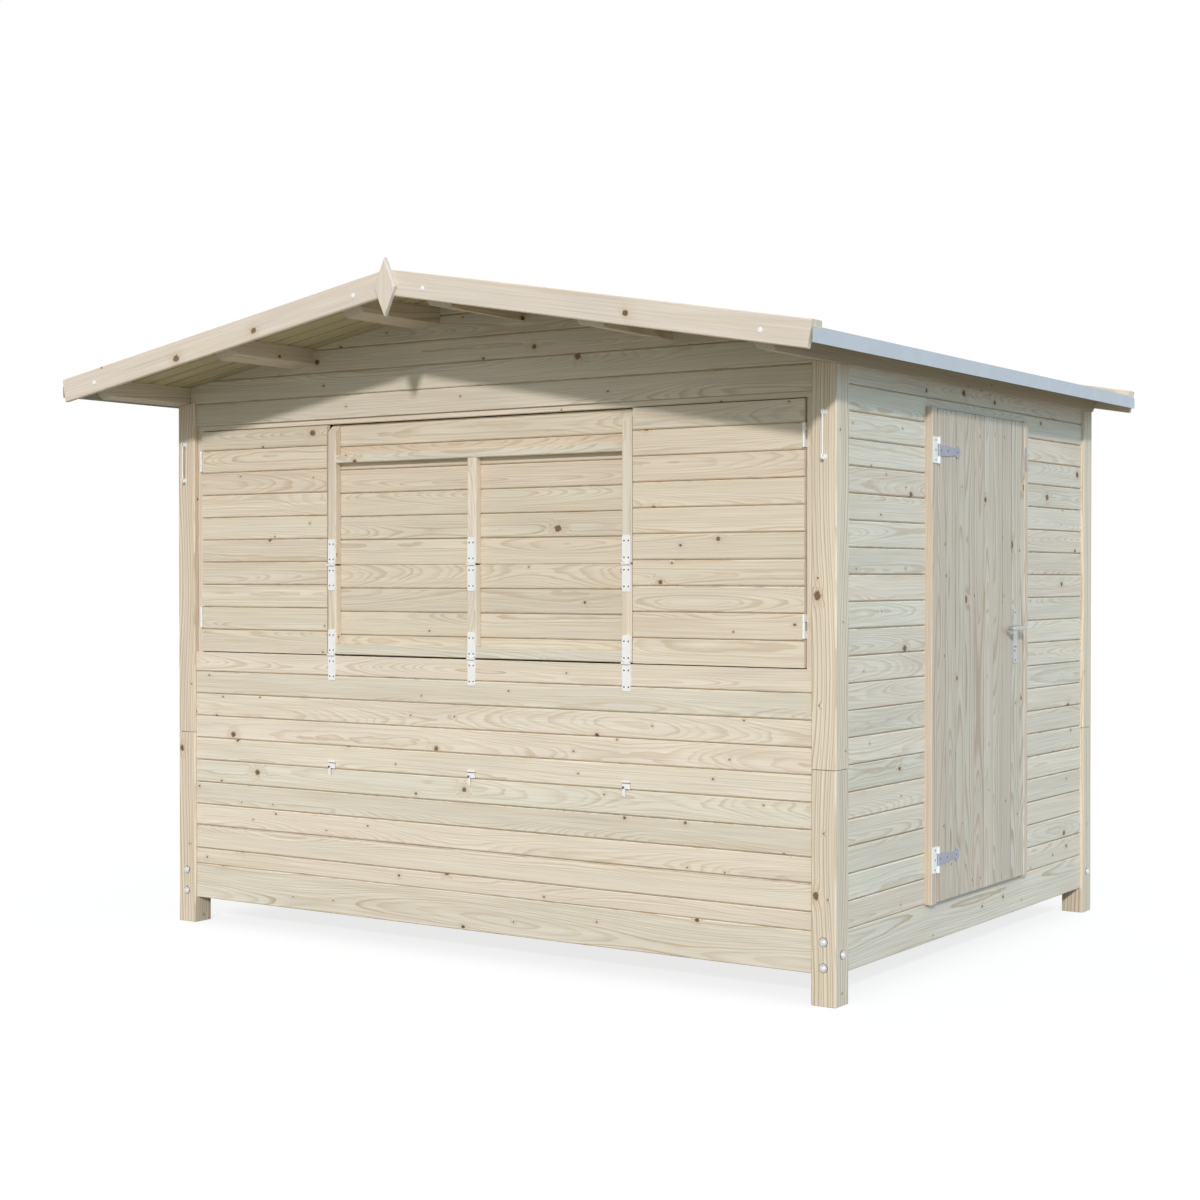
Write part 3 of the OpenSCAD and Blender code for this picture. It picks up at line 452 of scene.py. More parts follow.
def add_boards(stack, origin, axes, lines, thick, start, end, bevel=0.004, slot=0.0022, cuts=(),
               ends=("sawn", "sawn")):
    """A field of boards edge to edge. The lines are measured from the origin along the second axis,
    and ends says whether the outer edges are sawn or meet another field in a joint."""
    last = len(lines) - 2
    for i in range(last + 1):
        edges = [ends[0] if i == 0 else "joint", ends[1] if i == last else "joint"]
        width = lines[i + 1] - lines[i]
        section = board_section(width, thick, bevel + chance.uniform(-bevel_play, bevel_play), slot, *edges)
        lift = axes[2] * chance.uniform(-face_play, 0.0)
        joints = [side for side, edge in zip((-1, 1), edges) if edge == "joint"]
        place = origin + axes[1] * lines[i] + lift
        add_bar(stack, place, axes, section, start, end, cuts=cuts, joints=joints)


low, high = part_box("floor_bearers")
bearer_thick = 0.045
bearer_count = 5
bearers = new_stack()
for i in range(bearer_count):
    x = low.x + i * (high.x - bearer_thick - low.x) / (bearer_count - 1)
    add_bar(bearers, Vector((x, low.y, high.z)), (BACK, RIGHT, UP),
            eased_section(bearer_thick, high.z - low.z, 0.002), 0.0, high.y - low.y)
set_piece(bearers, "floor_bearers_sawn", rough_spruce, "hut", "spruce", "floor_bearers")

low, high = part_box("floor_boards")
floor_cover = 0.12
floor_bevel = 0.0012
floor_thick = high.z - low.z
post_inner_x = lower_high.x - post_side
notch = lower_low.y + post_side - low.y
floor = new_stack()
floor_axes = (RIGHT, BACK, UP)
lines = joint_lines(notch, high.y - low.y - notch, notch + floor_cover, floor_cover)
add_boards(floor, Vector((low.x, low.y, high.z)), floor_axes, lines, floor_thick, 0.0, high.x - low.x,
           floor_bevel)
for y in (0.0, high.y - low.y - notch):
    add_boards(floor, Vector((-post_inner_x, low.y + y, high.z)), floor_axes, [0.0, notch], floor_thick, 0.0,
               2 * post_inner_x, floor_bevel)
set_piece(floor, "floor_boards_laid", rough_spruce, "hut", "spruce", "floor_boards")


# Walls: tongued and grooved boards laid level between the posts, each with a bevelled V joint.
# The lowest joint of the front stands open a little more than the others.
board_cover = 0.088
low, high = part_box("front_lower_wall")
board_thick = high.y - low.y
front_axes = (RIGHT, UP, -BACK)
front_first = 0.297
open_joint = 0.385
open_width = 0.0045
wall = new_stack()
foot = Vector((low.x, low.y, 0))
lines = joint_lines(low.z, open_joint, front_first, board_cover)
add_boards(wall, foot, front_axes, lines, board_thick, 0.0, high.x - low.x, ends=("joint", "joint"))
lines = joint_lines(open_joint + open_width, high.z, open_joint + board_cover, board_cover)
add_boards(wall, foot, front_axes, lines, board_thick, 0.0, high.x - low.x, ends=("joint", "sawn"))
set_piece(wall, "front_wall_boards", planed_spruce, "hut", "spruce", "front_lower_wall")

low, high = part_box("left_wall")
side_first = 0.326
wall = new_stack()
lines = joint_lines(low.z, high.z, side_first, board_cover)
eave_cut = [(Vector((low.x + board_thick, 0, high.z)), out_of_roof(-1))]
add_boards(wall, Vector((low.x, low.y, 0)), (BACK, UP, -RIGHT), lines, board_thick, 0.0, high.y - low.y,
           cuts=eave_cut, ends=("joint", "sawn"))
set_piece(wall, "left_wall_boards", planed_spruce, "hut", "spruce", "left_wall")
for node, low_edge in (("right_front_wall", "joint"), ("right_rear_wall", "joint"), ("door_header", "sawn")):
    low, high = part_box(node)
    wall = new_stack()
    lines = joint_lines(low.z, high.z, side_first, board_cover)
    eave_cut = [(Vector((high.x - board_thick, 0, high.z)), out_of_roof(1))]
    add_boards(wall, Vector((high.x, low.y, 0)), (BACK, UP, RIGHT), lines, board_thick, 0.0, high.y - low.y,
               cuts=eave_cut, ends=(low_edge, "sawn"))
    set_piece(wall, node + "_boards", planed_spruce, "hut", "spruce", node)


# Gables: the same boards, sawn to the slope of the roof at their upper ends.
# The rear gable goes on from the rear wall without a break.
deck_thick = 0.02
deck_low, deck_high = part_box("right_roof_deck")
ridge_under = deck_high.z - deck_thick / slope_cos
seat_gap = 0.0002
top_line = ridge_under - 0.02
roof_cuts = [(Vector((0, 0, ridge_under - seat_gap)), out_of_roof(side)) for side in (-1, 1)]
low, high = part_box("front_gable")
gable_half = high.x
gable = new_stack()
foot = Vector((-gable_half, low.y, 0))
band_top = low.z + board_cover
inset = gable_half - post_inner_x
add_boards(gable, foot, front_axes, [low.z, band_top], board_thick, inset, 2 * gable_half - inset,
           ends=("sawn", "joint"))
lines = joint_lines(band_top, top_line, band_top + board_cover, board_cover)
add_boards(gable, foot, front_axes, lines, board_thick, 0.0, 2 * gable_half, cuts=roof_cuts,
           ends=("joint", "sawn"))
set_piece(gable, "front_gable_boards", planed_spruce, "hut", "spruce", "front_gable")

low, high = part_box("rear_wall")
wall = new_stack()
rear_axes = (RIGHT, UP, BACK)
foot = Vector((-gable_half, high.y, 0))
rear_split = side_first + 20 * board_cover
lines = joint_lines(low.z, rear_split, side_first, board_cover)
add_boards(wall, foot, rear_axes, lines, board_thick, inset, 2 * gable_half - inset, ends=("joint", "joint"))
lines = joint_lines(rear_split, top_line, rear_split + board_cover, board_cover)
add_boards(wall, foot, rear_axes, lines, board_thick, 0.0, 2 * gable_half, cuts=roof_cuts,
           ends=("joint", "sawn"))
set_piece(wall, "rear_wall_boards", planed_spruce, "hut", "spruce", "rear_wall")


# Serving hatch frame: narrow upright strips on the posts and a flat strip over the opening.
# They lie a little behind the wall boards, so that the shutters close flush with the wall.
low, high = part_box("hatch_jambs")
jamb_wide = 0.028
strip_ease = 0.002
strips = new_stack()
section = eased_section(jamb_wide, high.y - low.y, strip_ease)
for x in (low.x, high.x - jamb_wide):
    add_bar(strips, Vector((x, low.y, low.z)), (UP, RIGHT, -BACK), section, 0.0, high.z - low.z)
set_piece(strips, "hatch_jamb_strips", planed_spruce, "hut", "spruce", "hatch_jambs")
low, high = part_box("hatch_head")
strips = new_stack()
section = eased_section(high.z - low.z, high.y - low.y, strip_ease)
add_bar(strips, low, front_axes, section, 0.0, high.x - low.x)
set_piece(strips, "hatch_head_strip", planed_spruce, "hut", "spruce", "hatch_head")


# Door frame: two planed stiles that stand proud of the side wall.
# The front one carries the plates of the T-hinges, the rear one takes the latch.
door_spruce = make_spruce("door_spruce", (0.68, 0.595, 0.48), (0.46, 0.345, 0.235),
                          ring=0.005, contrast=1.05, knots=0.5, bump=0.35)
low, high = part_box("door_stiles")
front_stile = 0.042
rear_stile = 0.036
stile_ease = 0.003
end_ease = 0.001
stiles = new_stack()
for y, wide in ((low.y, front_stile), (high.y - rear_stile, rear_stile)):
    section = eased_section(wide, high.x - low.x, stile_ease)
    add_bar(stiles, Vector((high.x, y, low.z)), (UP, BACK, RIGHT), section, 0.0, high.z - low.z, end_ease)
set_piece(stiles, "door_frame_stiles", door_spruce, "hut", "spruce", "door_stiles")


# Purlins: six planed timbers laid flat from front to back under the roof boards, cut to the pitch.
# Their ends run out under the overhangs and have the lower corner cut off.
purlin_cut = 0.038
ease = 0.003
for row, wide, tall in (("ridge", 0.09, 0.0578), ("middle", 0.09, 0.0578), ("eave", 0.06, 0.0618)):
    low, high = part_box(row + "_purlins")
    inner = high.x - wide
    drop = wide * slope_sin / slope_cos
    top = ridge_under - seat_gap - inner * slope_sin / slope_cos
    section = [(0, ease - tall), (ease, -tall - ease * slope_sin),
               (wide - ease, -tall - drop + ease * slope_sin), (wide, ease - tall - drop),
               (wide, -drop), (0, 0)]
    timbers = new_stack()
    middle = ridge_under - (inner + wide / 2) * slope_sin / slope_cos - tall
    for side in (-1, 1):
        cuts = [(Vector((0, y, middle + purlin_cut)), Vector((0, way, -1)).normalized())
                for y, way in ((low.y, -1), (high.y, 1))]
        foot = Vector((side * inner, low.y, top))
        add_bar(timbers, foot, (BACK, RIGHT * side, UP), section, 0.0, high.y - low.y, cuts=cuts)
    set_piece(timbers, row + "_purlin_timbers", door_spruce, "hut", "spruce", row + "_purlins")


# Roof boards: tongued boards that run from the ridge down to the eaves, with their bevelled faces down.
# From below they show as the soffit of the overhangs.
# The roof boards get a darker, greener copy of the planed spruce: painted shade for the soffit under the
# overhangs.
soffit_shade_spruce = make_spruce("soffit_shade_spruce", (0.48, 0.43, 0.26), (0.38, 0.31, 0.17),
                            ring=0.0042, contrast=0.8, knots=0.4, bump=0.35)
eave_x = deck_high.x
deck_first = 0.05
deck_slot = 0.010
lines = joint_lines(0.0, deck_high.y - deck_low.y, deck_first, board_cover)
ridge = (Vector((0, 0, 0)), RIGHT)
for side, hand in ((-1, "left"), (1, "right")):
    deck = new_stack()
    eave = (Vector((side * eave_x, 0, 0)), RIGHT)
    axes = (down_roof(side), BACK, -out_of_roof(side))
    apex = Vector((0, deck_low.y, ridge_under))
    add_boards(deck, apex, axes, lines, deck_thick, ridge, eave, slot=deck_slot)
    set_piece(deck, hand + "_roof_boards", soffit_shade_spruce, "hut", "spruce", hand + "_roof_deck")


# Roofing felt: mineral felt in two courses on each side, lapped upwards, with a strip over the ridge.
# It lies in slight waves on the boards between the edge battens.
felt_low, felt_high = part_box("right_roof_felt")


def make_felt():
    finish, tree, shader = new_finish("mineral_felt")
    spot = put(tree, "ShaderNodeTexCoord").outputs["Object"]
    grit = put(tree, "ShaderNodeTexVoronoi", [("Vector", spot), ("Scale", 420.0)])
    stain_feeds = [("Vector", spot), ("Scale", 2.2), ("Detail", 4.0)]
    stain = put(tree, "ShaderNodeTexNoise", stain_feeds).outputs["Fac"]
    light = put(tree, "ShaderNodeSeparateColor", [(0, grit.outputs["Color"])]).outputs[0]
    colour = blend_colour(tree, light, (0.045, 0.048, 0.052, 1), (0.16, 0.165, 0.17, 1))
    colour = blend_colour(tree, ease_in(tree, stain, 0.45, 0.75), colour, (0.115, 0.117, 0.118, 1))
    feed(tree, shader.inputs["Base Color"], colour)
    feed(tree, shader.inputs["Roughness"], calc(tree, "MULTIPLY_ADD", light, 0.2, 0.75))
    add_relief(tree, shader, grit.outputs["Distance"], 0.5, 0.001)
    return finish


mineral_felt = make_felt()


def add_course(stack, side, near, far, lift, thick):
    """One course of felt on a roof side, from near to far along the slope, as a thin waved slab.
    A course with near at 0 is cut upright on the ridge, so that it meets the one from the other side."""
    rows = 12
    columns = 40
    down = down_roof(side)
    out = out_of_roof(side)
    base = len(stack["points"])
    deck_top = Vector((0, 0, ridge_under)) + out * deck_thick
    for layer in (0, 1):
        for i in range(rows + 1):
            for j in range(columns + 1):
                along = near + (far - near) * i / rows
                y = felt_low.y + (felt_high.y - felt_low.y) * j / columns
                wave = 0.0006 * math.sin(9.0 * y + 3.0 * along) + 0.0005 * math.sin(17.0 * along - 5.0 * y)
                height = lift + (thick + wave if layer else 0.0)
                if near == 0:
                    along -= (deck_thick + height) * (1 - i / rows) * slope_sin / slope_cos
                point = deck_top + down * along + out * height
                stack["points"].append((point.x, y, point.z))
                stack["grain"].append((along, y, 0.0))
                stack["tone"].append((0.0, 0.0, 0.0))
    width = columns + 1
    sheet = width * (rows + 1)
    for i in range(rows):
        for j in range(columns):
            corner = base + i * width + j
            quad = [corner, corner + 1, corner + width + 1, corner + width]
            stack["faces"].append([index + sheet for index in quad][::side])
            stack["faces"].append(quad[::-side])
    border = (list(range(columns)) + [i * width + columns for i in range(rows)]
              + [rows * width + j for j in range(columns, 0, -1)] + [i * width for i in range(rows, 0, -1)])
    for k, index in enumerate(border):
        after = border[(k + 1) % len(border)]
        wall_face = [base + index, base + after, base + after + sheet, base + index + sheet]
        stack["faces"].append(wall_face[::-side])


slope_long = (eave_x - deck_thick * slope_sin) / slope_cos
felt_thick = 0.0022
for side, hand in ((-1, "left"), (1, "right")):
    felt = new_stack()
    for near, far, lift in ((0.70, slope_long - 0.001, 0.0002), (0, 0.79, 0.0026), (0, 0.16, 0.0054)):
        add_course(felt, side, near, far, lift, felt_thick)
    set_piece(felt, hand + "_felt_courses", mineral_felt, "hut", "felt", hand + "_roof_felt")


# Drip strips: bent galvanised sheet on the eaves, with a leg down the board ends and a leg on the felt.
# The lower edge is folded back on itself so that it is stiff and safe to touch.
def make_metal_marks():
    """Dull patches, fine scratches and a dimpled skin, shared by the sheet and the hardware."""
    tree, given, result = new_group("metal_marks", [("Patch Scale", "Float")],
                                    [("Patches", "Float"), ("Scratches", "Float"), ("Height", "Float")])
    spot = put(tree, "ShaderNodeTexCoord").outputs["Object"]
    feeds = [("Vector", spot), ("Scale", given["Patch Scale"])]
    flakes = put(tree, "ShaderNodeTexVoronoi", feeds)
    flake = put(tree, "ShaderNodeSeparateColor", [(0, flakes.outputs["Color"])]).outputs[0]
    cloud = put(tree, "ShaderNodeTexNoise", feeds + [("Detail", 3.0)])
    mixed = calc(tree, "MULTIPLY_ADD", flake, 0.45, calc(tree, "MULTIPLY", cloud.outputs["Fac"], 0.55))
    feed(tree, result["Patches"], mixed)
    drawn = stretched_noise(tree, spot, (700.0, 700.0, 25.0), 2.0)
    feed(tree, result["Scratches"], ease_in(tree, drawn, 0.55, 0.75))
    feed(tree, result["Height"], calc(tree, "MULTIPLY_ADD", drawn, 0.3, mixed))
    return tree


metal_marks = make_metal_marks()


def make_metal(name, bright, dull, patch_scale, roughness, metallic):
    """A metal finish: the marks group between a bright and a dull colour in one plain shader."""
    finish, tree, shader = new_finish(name)
    marks = put(tree, "ShaderNodeGroup", [("Patch Scale", patch_scale)], node_tree=metal_marks)
    colour = blend_colour(tree, marks.outputs["Patches"], (*bright, 1), (*dull, 1))
    feed(tree, shader.inputs["Base Color"], colour)
    grey = calc(tree, "MULTIPLY_ADD", marks.outputs["Patches"], 0.18, roughness)
    feed(tree, shader.inputs["Roughness"], calc(tree, "MULTIPLY_ADD", marks.outputs["Scratches"], 0.1, grey))
    shader.inputs["Metallic"].default_value = metallic
    add_relief(tree, shader, marks.outputs["Height"], 0.15, 0.0004)
    return finish


drip_sheet = make_metal("galvanised_sheet", (0.565, 0.60, 0.63), (0.53, 0.565, 0.595),
                        patch_scale=14.0, roughness=0.42, metallic=0.3)
sheet_thick = 0.0015
hem = 0.009
drip_tall = 0.043
drip_in = 0.003
drip_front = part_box("right_barge_boards")[0].y + drip_in
drip_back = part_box("right_barge_boards")[1].y - drip_in
drip_top = deck_low.z + deck_thick / slope_cos
strips = new_stack()
for side in (-1, 1):
    axes = (BACK, RIGHT * side, UP)
    leg = [(0, 0), (sheet_thick, 0), (sheet_thick, drip_tall), (0, drip_tall)]
    fold = [(-0.0022, hem), (-0.0022, 0.0015), (-0.0012, 0), (0, 0),
            (0, 0.001), (-0.0008, 0.002), (-0.0008, hem)]
    foot = Vector((side * eave_x, drip_front, drip_top - drip_tall))
    add_bar(strips, foot, axes, leg, 0.0, drip_back - drip_front)
    add_bar(strips, foot, axes, fold, 0.0, drip_back - drip_front)
    rise = 0.004
    lap = 0.06
    climb = lap * slope_sin / slope_cos
    top = [(sheet_thick, 0), (sheet_thick, rise + sheet_thick), (0, rise + sheet_thick),
           (-lap, climb + rise + sheet_thick), (-lap, climb + rise), (0, rise), (0, 0)]
    add_bar(strips, Vector((side * eave_x, felt_low.y, drip_top)), axes, top, 0.0, felt_high.y - felt_low.y)
set_piece(strips, "eave_drip_strips", drip_sheet, "hut", "drip_metal", "drip_strips")


# Barge boards: planed boards on the front and rear edges of the roof, mitred at the ridge.
# Behind each of them a batten lies on the roof boards and closes the edge of the felt.
barge_spruce = make_spruce("barge_spruce", (0.77, 0.68, 0.575), (0.66, 0.545, 0.425),
                           ring=0.003, contrast=0.7, knots=0.16, bump=0.3)
barge_deep = 0.088
barge_thick = 0.018
edge_wide = 0.045
edge_thick = 0.025
section = eased_section(barge_deep, barge_thick, 0.003)
for side, hand in ((-1, "left"), (1, "right")):
    low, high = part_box(hand + "_barge_boards")
    boards = new_stack()
    for y, out in ((low.y, -BACK), (high.y, BACK)):
        axes = (down_roof(side), -out_of_roof(side), out)
        add_bar(boards, Vector((0, y, high.z)), axes, section, ridge, eave_x / slope_cos,
                pith=(chance.uniform(0.09, 0.12), 0.12))
    set_piece(boards, hand + "_barges", barge_spruce, "hut", "spruce", hand + "_barge_boards")
section = eased_section(edge_wide, edge_thick, 0.002)
for side, hand in ((-1, "left"), (1, "right")):
    low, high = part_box(hand + "_edge_battens")
    battens = new_stack()
    eave = (Vector((side * eave_x, 0, 0)), RIGHT)
    axes = (down_roof(side), BACK, out_of_roof(side))
    for y in (low.y, high.y - edge_wide):
        add_bar(battens, Vector((0, y, high.z)), axes, section, ridge, eave)
    set_piece(battens, hand + "_roof_battens", planed_spruce, "hut", "spruce", hand + "_edge_battens")


# Finial: a small rhombus of planed board screwed over the mitre of the front barge boards.
# Its front edges are bevelled all round.
low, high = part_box("finial")
middle = (low + high) / 2
finial = new_stack()
half_wide = (high.x - low.x) / 2
half_tall = (high.z - low.z) / 2
bevel = 0.0035
rim_share = 1 - bevel * 2.2 / half_wide
outlines = ((1.0, high.y), (1.0, low.y + bevel), (rim_share, low.y))
for share, y in outlines:
    for x, z in ((-half_wide, 0), (0, -half_tall), (half_wide, 0), (0, half_tall)):
        finial["points"].append((middle.x + x * share, y, middle.z + z * (share + (1 - share) * 0.5)))
        finial["grain"].append((z + 4.0, x + 0.02, y - low.y + 0.04))
        finial["tone"].append((0.3, 0.0, 0.0))
for ring in (0, 4):
    for i in range(4):
        j = (i + 1) % 4
        finial["faces"].append([ring + i, ring + 4 + i, ring + 4 + j, ring + j])
finial["faces"].append([0, 1, 2, 3])
finial["faces"].append([11, 10, 9, 8])
set_piece(finial, "ridge_rhombus", barge_spruce, "hut", "spruce", "finial")


# Hatch wings: side-hung shutters of level boards, nailed to two upright ledges on the inside.
# They close flush with the wall on both sides of the middle shutter.
wing_spruce = make_spruce("wing_spruce", (0.795, 0.70, 0.557), (0.595, 0.463, 0.31),
                          ring=0.0026, contrast=0.95, knots=0.42, bump=0.35)
trim = 0.0025
wing_first = 1.168
ledge_wide = 0.09
ledge_ease = 0.003
for hand, start in (("left", -trim), ("right", -2 * trim)):
    low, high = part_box(hand + "_wing_boards")
    leaf = new_stack()
    lines = joint_lines(low.z - trim, high.z + trim, wing_first, board_cover)
    add_boards(leaf, Vector((low.x, low.y, 0)), front_axes, lines, board_thick, start,
               start + high.x - low.x + 3 * trim)
    set_piece(leaf, hand + "_wing_panel", wing_spruce, hand + "_wing", "spruce", hand + "_wing_boards")
    low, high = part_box(hand + "_wing_ledges")
    ledges = new_stack()
    section = eased_section(ledge_wide, high.y - low.y, ledge_ease)
    for x in (low.x, high.x - ledge_wide):
        foot = Vector((x, high.y, low.z))
        add_bar(ledges, foot, (UP, RIGHT, BACK), section, 0.0, high.z - low.z, end_ease)
    set_piece(ledges, hand + "_wing_backs", rough_spruce, hand + "_wing", "spruce", hand + "_wing_ledges")


# Counter: the lower leaf of the middle shutter, boards with planed battens on the outside.
# It folds down on three strap hinges at the sill and then lies level as the serving counter.
# The leaf boards get a slightly darker copy of the planed spruce: painted shade for boards set back behind
# the battens.
hatch_shade_spruce = make_spruce("hatch_shade_spruce", (0.75, 0.66, 0.522), (0.56, 0.438, 0.292),
                           ring=0.0026, contrast=0.95, knots=0.42, bump=0.35)
counter_first = 1.156
batten_wide = 0.04
batten_deep = 0.03
batten_ease = 0.0025
batten_in = 0.002
meeting_gap = 0.0005
low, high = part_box("counter_boards")
leaf = new_stack()
lines = joint_lines(low.z - trim, high.z + trim, counter_first, board_cover)
add_boards(leaf, Vector((low.x, low.y, 0)), front_axes, lines, board_thick, 0.0, high.x - low.x)
set_piece(leaf, "counter_leaf", hatch_shade_spruce, "counter", "spruce", "counter_boards")
low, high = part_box("counter_battens")
batten_x = high.x - batten_in - batten_wide / 2
batten_front = low.y
frame_bars = new_stack()
section = eased_section(batten_wide, batten_deep, batten_ease)
upright_axes = (UP, RIGHT, -BACK)
add_bar(frame_bars, low, front_axes, section, 0.0, high.x - low.x, end_ease)
for x in (-batten_x, 0.0, batten_x):
    foot = Vector((x - batten_wide / 2, low.y, low.z + batten_wide + meeting_gap))
    long = high.z - low.z - batten_wide - meeting_gap
    add_bar(frame_bars, foot, upright_axes, section, 0.0, long, end_ease)
set_piece(frame_bars, "counter_frame", planed_spruce, "counter", "spruce", "counter_battens")


# Prop leaf: the upper leaf of the middle shutter, hinged to the counter along the fold.
# Battens on its outside stiffen it, and folded under the open counter it props it up.
prop_first = 1.514
cross_tall = 0.031
cross_drop = 0.124
low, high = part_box("prop_boards")
leaf = new_stack()
lines = joint_lines(low.z - trim, high.z + 2 * trim, prop_first, board_cover)
add_boards(leaf, Vector((low.x, low.y, 0)), front_axes, lines, board_thick, 0.0, high.x - low.x)
set_piece(leaf, "prop_leaf", hatch_shade_spruce, "prop", "spruce", "prop_boards")
prop_top = high.z
low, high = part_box("prop_battens")
cross_low = prop_top - cross_drop - cross_tall / 2
frame_bars = new_stack()
bevelled_top = (Vector((0, low.y, prop_top + 2 * trim - batten_deep)), Vector((0, -1, 1)).normalized())
for x in (-batten_x, batten_x):
    foot = Vector((x - batten_wide / 2, low.y, low.z))
    add_bar(frame_bars, foot, upright_axes, section, 0.0, bevelled_top)
foot = Vector((-batten_wide / 2, low.y, low.z))
add_bar(frame_bars, foot, upright_axes, section, 0.0, cross_low - meeting_gap - low.z, end_ease)
cross_half = batten_x - batten_wide / 2 - meeting_gap
section = eased_section(cross_tall, batten_deep, batten_ease)
foot = Vector((-cross_half, low.y, cross_low))
add_bar(frame_bars, foot, front_axes, section, 0.0, 2 * cross_half, end_ease)
set_piece(frame_bars, "prop_frame", planed_spruce, "prop", "spruce", "prop_battens")


# Door: upright tongued boards on two ledges and a sloping brace.
# The leaf stands level with the stiles and swings outwards on two T-hinges.
low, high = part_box("door_leaf")
door_cover = 0.0845
door_first = 0.067
leaf = new_stack()
lines = joint_lines(0.0, high.y - low.y, door_first, door_cover)
foot = Vector((high.x, low.y, low.z))
add_boards(leaf, foot, (UP, BACK, RIGHT), lines, high.x - low.x, 0.0, high.z - low.z,
           bevel=0.001, slot=0.0034)
set_piece(leaf, "door_boards", door_spruce, "door", "spruce", "door_leaf")
low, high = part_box("door_ledges")
brace_wide = 0.08
ledges = new_stack()
section = eased_section(ledge_wide, high.x - low.x, ledge_ease)
for z in (low.z, high.z - ledge_wide):
    add_bar(ledges, Vector((low.x, low.y, z)), (BACK, UP, -RIGHT), section, 0.0, high.y - low.y, end_ease)
foot = Vector((low.x, low.y, low.z + ledge_wide + meeting_gap))
head = Vector((low.x, high.y - brace_wide, high.z - ledge_wide - meeting_gap))
climb = (head - foot).normalized()
square = climb.cross(RIGHT).normalized()
if square.y < 0:
    square = -square
section = eased_section(brace_wide * climb.z, high.x - low.x, ledge_ease)
add_bar(ledges, foot, (climb, square, -RIGHT), section, (foot, UP), (head, UP))
set_piece(ledges, "door_backs", rough_spruce, "door", "spruce", "door_ledges")


# Hinges, hooks and handle: pressed steel with bright zinc plating, duller on the straps and the
# handle of the door. The straps' darker, bluer zinc is partly duller plating and partly painted shade.
# They keep their solids from the construction and get the plating's finish.
# A small catch plate in the same darker zinc is fixed beside the door, at the top of the rear stile.
zinc = make_metal("bright_zinc", (0.93, 0.92, 0.89), (0.86, 0.85, 0.82),
                  patch_scale=90.0, roughness=0.4, metallic=0.12)
handle_zinc = make_metal("handle_zinc", (0.60, 0.60, 0.59), (0.42, 0.42, 0.42),
                         patch_scale=160.0, roughness=0.25, metallic=0.8)
# Darker, bluer zinc for the door straps and the catch plate: partly duller plating, partly painted shade of
# the side wall.
dull_shaded_zinc = make_metal("dull_shaded_zinc", (0.43, 0.425, 0.48), (0.35, 0.35, 0.40),
                       patch_scale=70.0, roughness=0.42, metallic=0.4)
for node, plating in (("fixed_hinge_leaves", zinc), ("cabin_hooks", zinc), ("left_wing_hinges", zinc),
                      ("right_wing_hinges", zinc), ("counter_hinges", zinc), ("prop_hinges", zinc),
                      ("door_hinge_straps", dull_shaded_zinc), ("door_handle", handle_zinc)):
    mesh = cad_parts[node].data
    mesh.materials.clear()
    mesh.materials.append(plating)
low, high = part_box("door_leaf")
catch_wide = 0.014
catch_tall = 0.09
catch_thick = 0.002
catch_ease = 0.0005
catch_foot = Vector((high.x + catch_thick, high.y + 0.008, 1.775))
catch = new_stack()
section = eased_section(catch_wide, catch_thick, catch_ease)
add_bar(catch, catch_foot, (UP, BACK, RIGHT), section, 0.0, catch_tall, catch_ease)
set_piece(catch, "door_catch_plate", dull_shaded_zinc, "hut", "zinc")


# Bolts and barge screws: dome bolts through the posts into the base beams, each on a thin dark disc
# that is painted shade round its head, and round-headed screws with a recess in the barge boards.
# Both are zinc plated steel.
bolt_zinc = make_metal("bolt_zinc", (0.86, 0.86, 0.84), (0.58, 0.58, 0.57),
                       patch_scale=260.0, roughness=0.22, metallic=0.85)
# Dark steel for the small screws and rivets; on the discs under the bolts and behind the turn hooks it is
# painted shade.
dark_steel_and_shade = make_metal("dark_steel_and_shade", (0.13, 0.125, 0.12), (0.09, 0.085, 0.08),
                        patch_scale=200.0, roughness=0.45, metallic=0.6)


def add_turned(stack, centre, axis, outline, sides):
    """A turned head: outline gives radius and height over the surface, from the rim to the middle."""
    lean = axis.orthogonal().normalized()
    other = axis.cross(lean)
    base = len(stack["points"])
    for radius, height in outline:
        for k in range(sides):
            turn = 2 * math.pi * k / sides
            point = centre + axis * height + (lean * math.cos(turn) + other * math.sin(turn)) * radius
            stack["points"].append(tuple(point))
            stack["grain"].append((0.0, 0.0, 0.0))
            stack["tone"].append((0.0, 0.0, 0.0))
    for ring in range(len(outline) - 1):
        for k in range(sides):
            j = (k + 1) % sides
            near = base + ring * sides
            far = near + sides
            stack["faces"].append([near + k, near + j, far + j, far + k])
    stack["faces"].append([base + k for k in range(sides)][::-1])
    stack["faces"].append([base + (len(outline) - 1) * sides + k for k in range(sides)])


bolt_outline = [(0.0138, -0.001), (0.0138, 0.0014), (0.0134, 0.0018), (0.0112, 0.002),
                (0.0106, 0.0045), (0.0087, 0.007), (0.005, 0.0088), (0.0017, 0.0092)]
shade_disc_outline = [(0.0156, -0.001), (0.0156, 0.0008), (0.015, 0.001), (0.012, 0.001)]
bolts = new_stack()
bolt_shade_discs = new_stack()
post_middle = post_side / 2
for x in (-1, 1):
    bolt_x = x * (lower_high.x - post_middle)
    places = [(Vector((bolt_x, y, z)), out) for z in (0.124, 0.207)
              for y, out in ((lower_low.y, -BACK), (lower_high.y, BACK))]
    places += [(Vector((x * lower_high.x, y, 0.165)), RIGHT * x)
               for y in (lower_low.y + post_middle, lower_high.y - post_middle)]
    for place, out in places:
        # The thin dark disc under each bolt head is painted shade.
        add_turned(bolt_shade_discs, place, out, shade_disc_outline, 20)
        add_turned(bolts, place + out * 0.0008, out, bolt_outline, 20)
